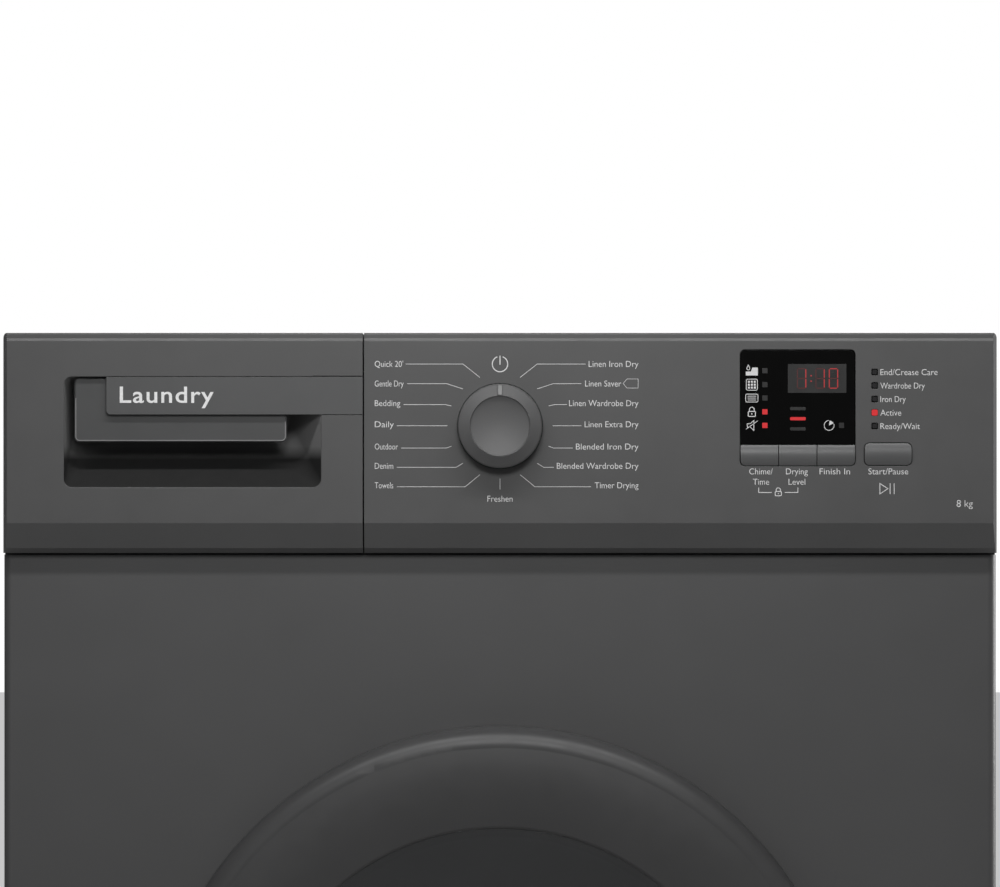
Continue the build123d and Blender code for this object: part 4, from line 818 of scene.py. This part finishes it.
def display_icons():
    """Common appliance symbols behind the display window."""
    icons = Artwork("display_icons", SCREEN)
    x, z = ICON_X, ICON_ROWS[0]
    # tank that is to be emptied, with a drop above its corner
    tank = ((-3.6, -2.8), (3.6, -2.8), (3.6, 1.9), (0.3, 1.9), (-0.6, -0.5), (-3.6, -0.5))
    icons.fill([(x + i, z + j) for i, j in tank])
    drop = [(x - 2.1, z + 3.4)] + arc((x - 2.1, z + 1.4), 0.9, 150, 390, 16)
    icons.stroke(drop, ICON_LINE, closed=True)
    z = ICON_ROWS[1]
    # filter: frame with a grid of nine
    icons.stroke(rectangle((x, z), 6.6, 6.6, 0.9), ICON_LINE, closed=True)
    for i in (-1, 0, 1):
        for j in (-1, 0, 1):
            icons.fill(rectangle((x + 1.75 * i, z + 1.75 * j), 1.2, 1.2))
    z = ICON_ROWS[2]
    # condenser: frame with three fins
    icons.stroke(rectangle((x, z), 7.3, 4.7, 0.8), ICON_LINE, closed=True)
    for j in (-1, 0, 1):
        icons.stroke([(x - 2.5, z + 1.15 * j), (x + 2.5, z + 1.15 * j)], ICON_LINE)
    padlock(icons, (x, ICON_ROWS[3]), 4.8, 6.0, 0.5)
    z = ICON_ROWS[4]
    # sound off: speaker with a line through it
    speaker = ((-2.7, 1.0), (-1.0, 1.0), (1.2, 2.9), (1.2, -2.9), (-1.0, -1.0), (-2.7, -1.0))
    icons.stroke([(x + i, z + j) for i, j in speaker], ICON_LINE, closed=True)
    icons.stroke([(x - 3.3, z - 2.2), (x + 3.6, z + 2.8)], ICON_LINE)
    # delay: clock with a quarter filled
    clock = (196.3, ICON_ROWS[4])
    icons.stroke(arc(clock, 2.95, 95, 375, 40), ICON_LINE)
    icons.fill([clock] + arc(clock, 2.9, 25, 85, 10))
    icons.finish("cabinet", PRINT_WHITE, "display_black")


def display_lamps():
    """Small square lamps beside the icons, and the three dryness bars."""
    lit = Artwork("display_lamps_lit", SCREEN)
    dark = Artwork("display_lamps_off", SCREEN)
    for row, z in enumerate(ICON_ROWS):
        lamps = lit if row >= FIRST_LIT_ICON else dark
        lamps.fill(rectangle((ICON_LED_X, z), LED_SIZE, LED_SIZE, 0.3))
    dark.fill(rectangle((DELAY_LED_X, ICON_ROWS[4]), LED_SIZE, LED_SIZE, 0.3))
    for row, z in enumerate(BAR_ROWS):
        bars = lit if row == LIT_BAR else dark
        bars.fill(rectangle((BAR_X, z), 9.4, 1.9, 0.7))
    lit.finish("cabinet", LED_RED, "display_black")
    dark.finish("cabinet", LED_OFF, "display_black")


# ends of the seven bars of a figure, across and up from its lower left corner
SEGMENTS = {
    "a": ((0, 1), (1, 1)), "b": ((1, 1), (1, 0.5)), "c": ((1, 0.5), (1, 0)), "d": ((0, 0), (1, 0)),
    "e": ((0, 0.5), (0, 0)), "f": ((0, 1), (0, 0.5)), "g": ((0, 0.5), (1, 0.5)),
}
DIGITS = {"1": "bc", "0": "abcdef"}


def segment(artwork, a, b, width):
    """One bar of a figure, pointed at both ends."""
    gap = 0.25
    start, end = Vector(a), Vector(b)
    along = (end - start).normalized()
    start, end = start + along * gap, end - along * gap
    side = Vector((-along.y, along.x)) * width / 2
    shoulder = along * width / 2
    above = (start + shoulder + side, end - shoulder + side)
    below = (end - shoulder - side, start + shoulder - side)
    corners = (start, *above, end, *below)
    artwork.fill([(p.x, p.y) for p in corners])


def display_readout():
    """Grey screen with the time left, in seven-segment figures."""
    screen = Artwork("display_readout_screen", SCREEN)
    screen.fill(rectangle(READOUT, 34.9, 17.2, 0.4))
    screen.finish("cabinet", SCREEN_GREY, "display_black")
    lit = Artwork("display_figures_lit", screen.front)
    dim = Artwork("display_figures_dim", screen.front)
    bottom, height, width, bar = 817.0, 11.6, 5.0, 0.6
    colon_x, dot = 185.6, 0.8
    for left, digit in ((177.4, "1"), (188.4, "1"), (196.4, "0")):
        for name, ends in SEGMENTS.items():
            a, b = [(left + width * i, bottom + height * j) for i, j in ends]
            segment(lit if name in DIGITS[digit] else dim, a, b, bar)
    for share in (0.36, 0.64):
        lit.fill(rectangle((colon_x, bottom + height * share), dot, dot))
    lit.finish("cabinet", LED_FIGURE, "display_black")
    dim.finish("cabinet", LED_DIM, "display_black")


display_icons()
display_lamps()
display_readout()


# ---------------------------------------------------------------- knob pointer and tank mark
def knob_pointer():
    """Light insert down the bar on the knob's cone that shows the chosen programme."""
    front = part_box("programme_knob")[0].y
    cone_edge = 18.5  # radius at which the cone starts to fall back from the knob's face
    slope = 4.8 / 5.8  # how far the cone falls back for each millimetre outwards
    half, start, end = 1.1, 0.1, 5.7
    buried, proud = -0.08, 0.05
    insert = Artwork("knob_pointer_insert", front)
    corners = []
    for level in (buried, proud):
        for x, out in ((-half, start), (half, start), (half, end), (-half, end)):
            place = (x * MM, front + (out * slope + level) * MM, (KNOB[1] + cone_edge + out) * MM)
            corners.append(insert.mesh.verts.new(place))
    face, back = corners[:4], corners[4:]
    insert.mesh.faces.new(face)
    insert.mesh.faces.new(back)
    for n in range(4):
        after = (n + 1) % 4
        insert.mesh.faces.new((face[n], face[after], back[after], back[n]))
    insert.finish("knob", POINTER_SILVER, "knob_plastic")


def tank_mark():
    """The generic word on the handle strip."""
    mark = Artwork("tank_wordmark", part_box("tank_handle_strip")[0].y, height=0.00015)
    mark.words("Laundry", 808.4, 9.5, left=-226.8, right=-170.7, weight=0.012, spacing=1.1)
    mark.finish("tank", MARK_SILVER, "strip_plastic")


def grip_painted_highlight():
    """Painted highlight: a lighter line along the free edges of the tank's grip plate, where the edge
    catches the light.
    """
    low, high = [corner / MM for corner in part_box("tank_grip_plate")]
    inset, radius = 0.95, 2.2
    left_gap, right_gap = 12, 26  # of bare edge above the painted highlight
    left, right, bottom = low.x + inset, high.x - inset, low.z + inset
    points = [(left, high.z - left_gap)]
    points += arc((left + radius, bottom + radius), radius, 180, 270, 8)
    points += arc((right - radius, bottom + radius), radius, 270, 360, 8)
    points.append((right, high.z - right_gap))
    lip = Artwork("tank_grip_lip", low.y * MM)
    lip.stroke(points, 0.45)
    lip.finish("tank", PAINTED_HIGHLIGHT_GREY, "grip_plastic")


grip_painted_highlight()
knob_pointer()
tank_mark()


# ---------------------------------------------------------------- door glass
def dome_skin(shape, crest, radius, rise, rings=24, sectors=128):
    """One face of a shallow dome whose crest points to the front; gives back its rim."""
    bend = (radius ** 2 + rise ** 2) / (2 * rise)
    turns = [math.tau * k / sectors for k in range(sectors)]
    middle = shape.verts.new(crest)
    skin = []
    for n in range(1, rings + 1):
        out = radius * n / rings
        y = crest[1] + bend - math.sqrt(bend ** 2 - out ** 2)
        places = [(crest[0] + out * math.cos(t), y, crest[2] + out * math.sin(t)) for t in turns]
        skin.append([shape.verts.new(place) for place in places])
    for k in range(sectors):
        after = (k + 1) % sectors
        shape.faces.new((middle, skin[0][k], skin[0][after]))
        for inner, outer in zip(skin, skin[1:]):
            shape.faces.new((inner[k], outer[k], outer[after], inner[after]))
    return skin[-1]


def domed_glass():
    """The door's window as one smooth dome, in even rings and sectors, in the CAD window's place."""
    thickness = 0.003
    low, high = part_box("door_window")
    centre_x, centre_z = (low.x + high.x) / 2, (low.z + high.z) / 2
    radius, rise = (high.x - low.x) / 2, high.y - low.y - thickness
    shape = bmesh.new()
    front_rim = dome_skin(shape, (centre_x, low.y, centre_z), radius, rise)
    back_rim = dome_skin(shape, (centre_x, low.y + thickness, centre_z), radius, rise)
    for k in range(len(front_rim)):
        after = (k + 1) % len(front_rim)
        shape.faces.new((front_rim[k], back_rim[k], back_rim[after], front_rim[after]))
        for rim in (front_rim, back_rim):
            shape.edges.get((rim[k], rim[after])).smooth = False
    bmesh.ops.recalc_face_normals(shape, faces=shape.faces)
    for face in shape.faces:
        face.smooth = True
    mesh = bpy.data.meshes.new("door_glass_dome")
    shape.to_mesh(mesh)
    shape.free()
    mesh.materials.append(FINISHES["door_glass"].material)
    dome = bpy.data.objects.new("door_glass_dome", mesh)
    bpy.context.scene.collection.objects.link(dome)
    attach(dome, "door")
    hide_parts("door_window")


domed_glass()
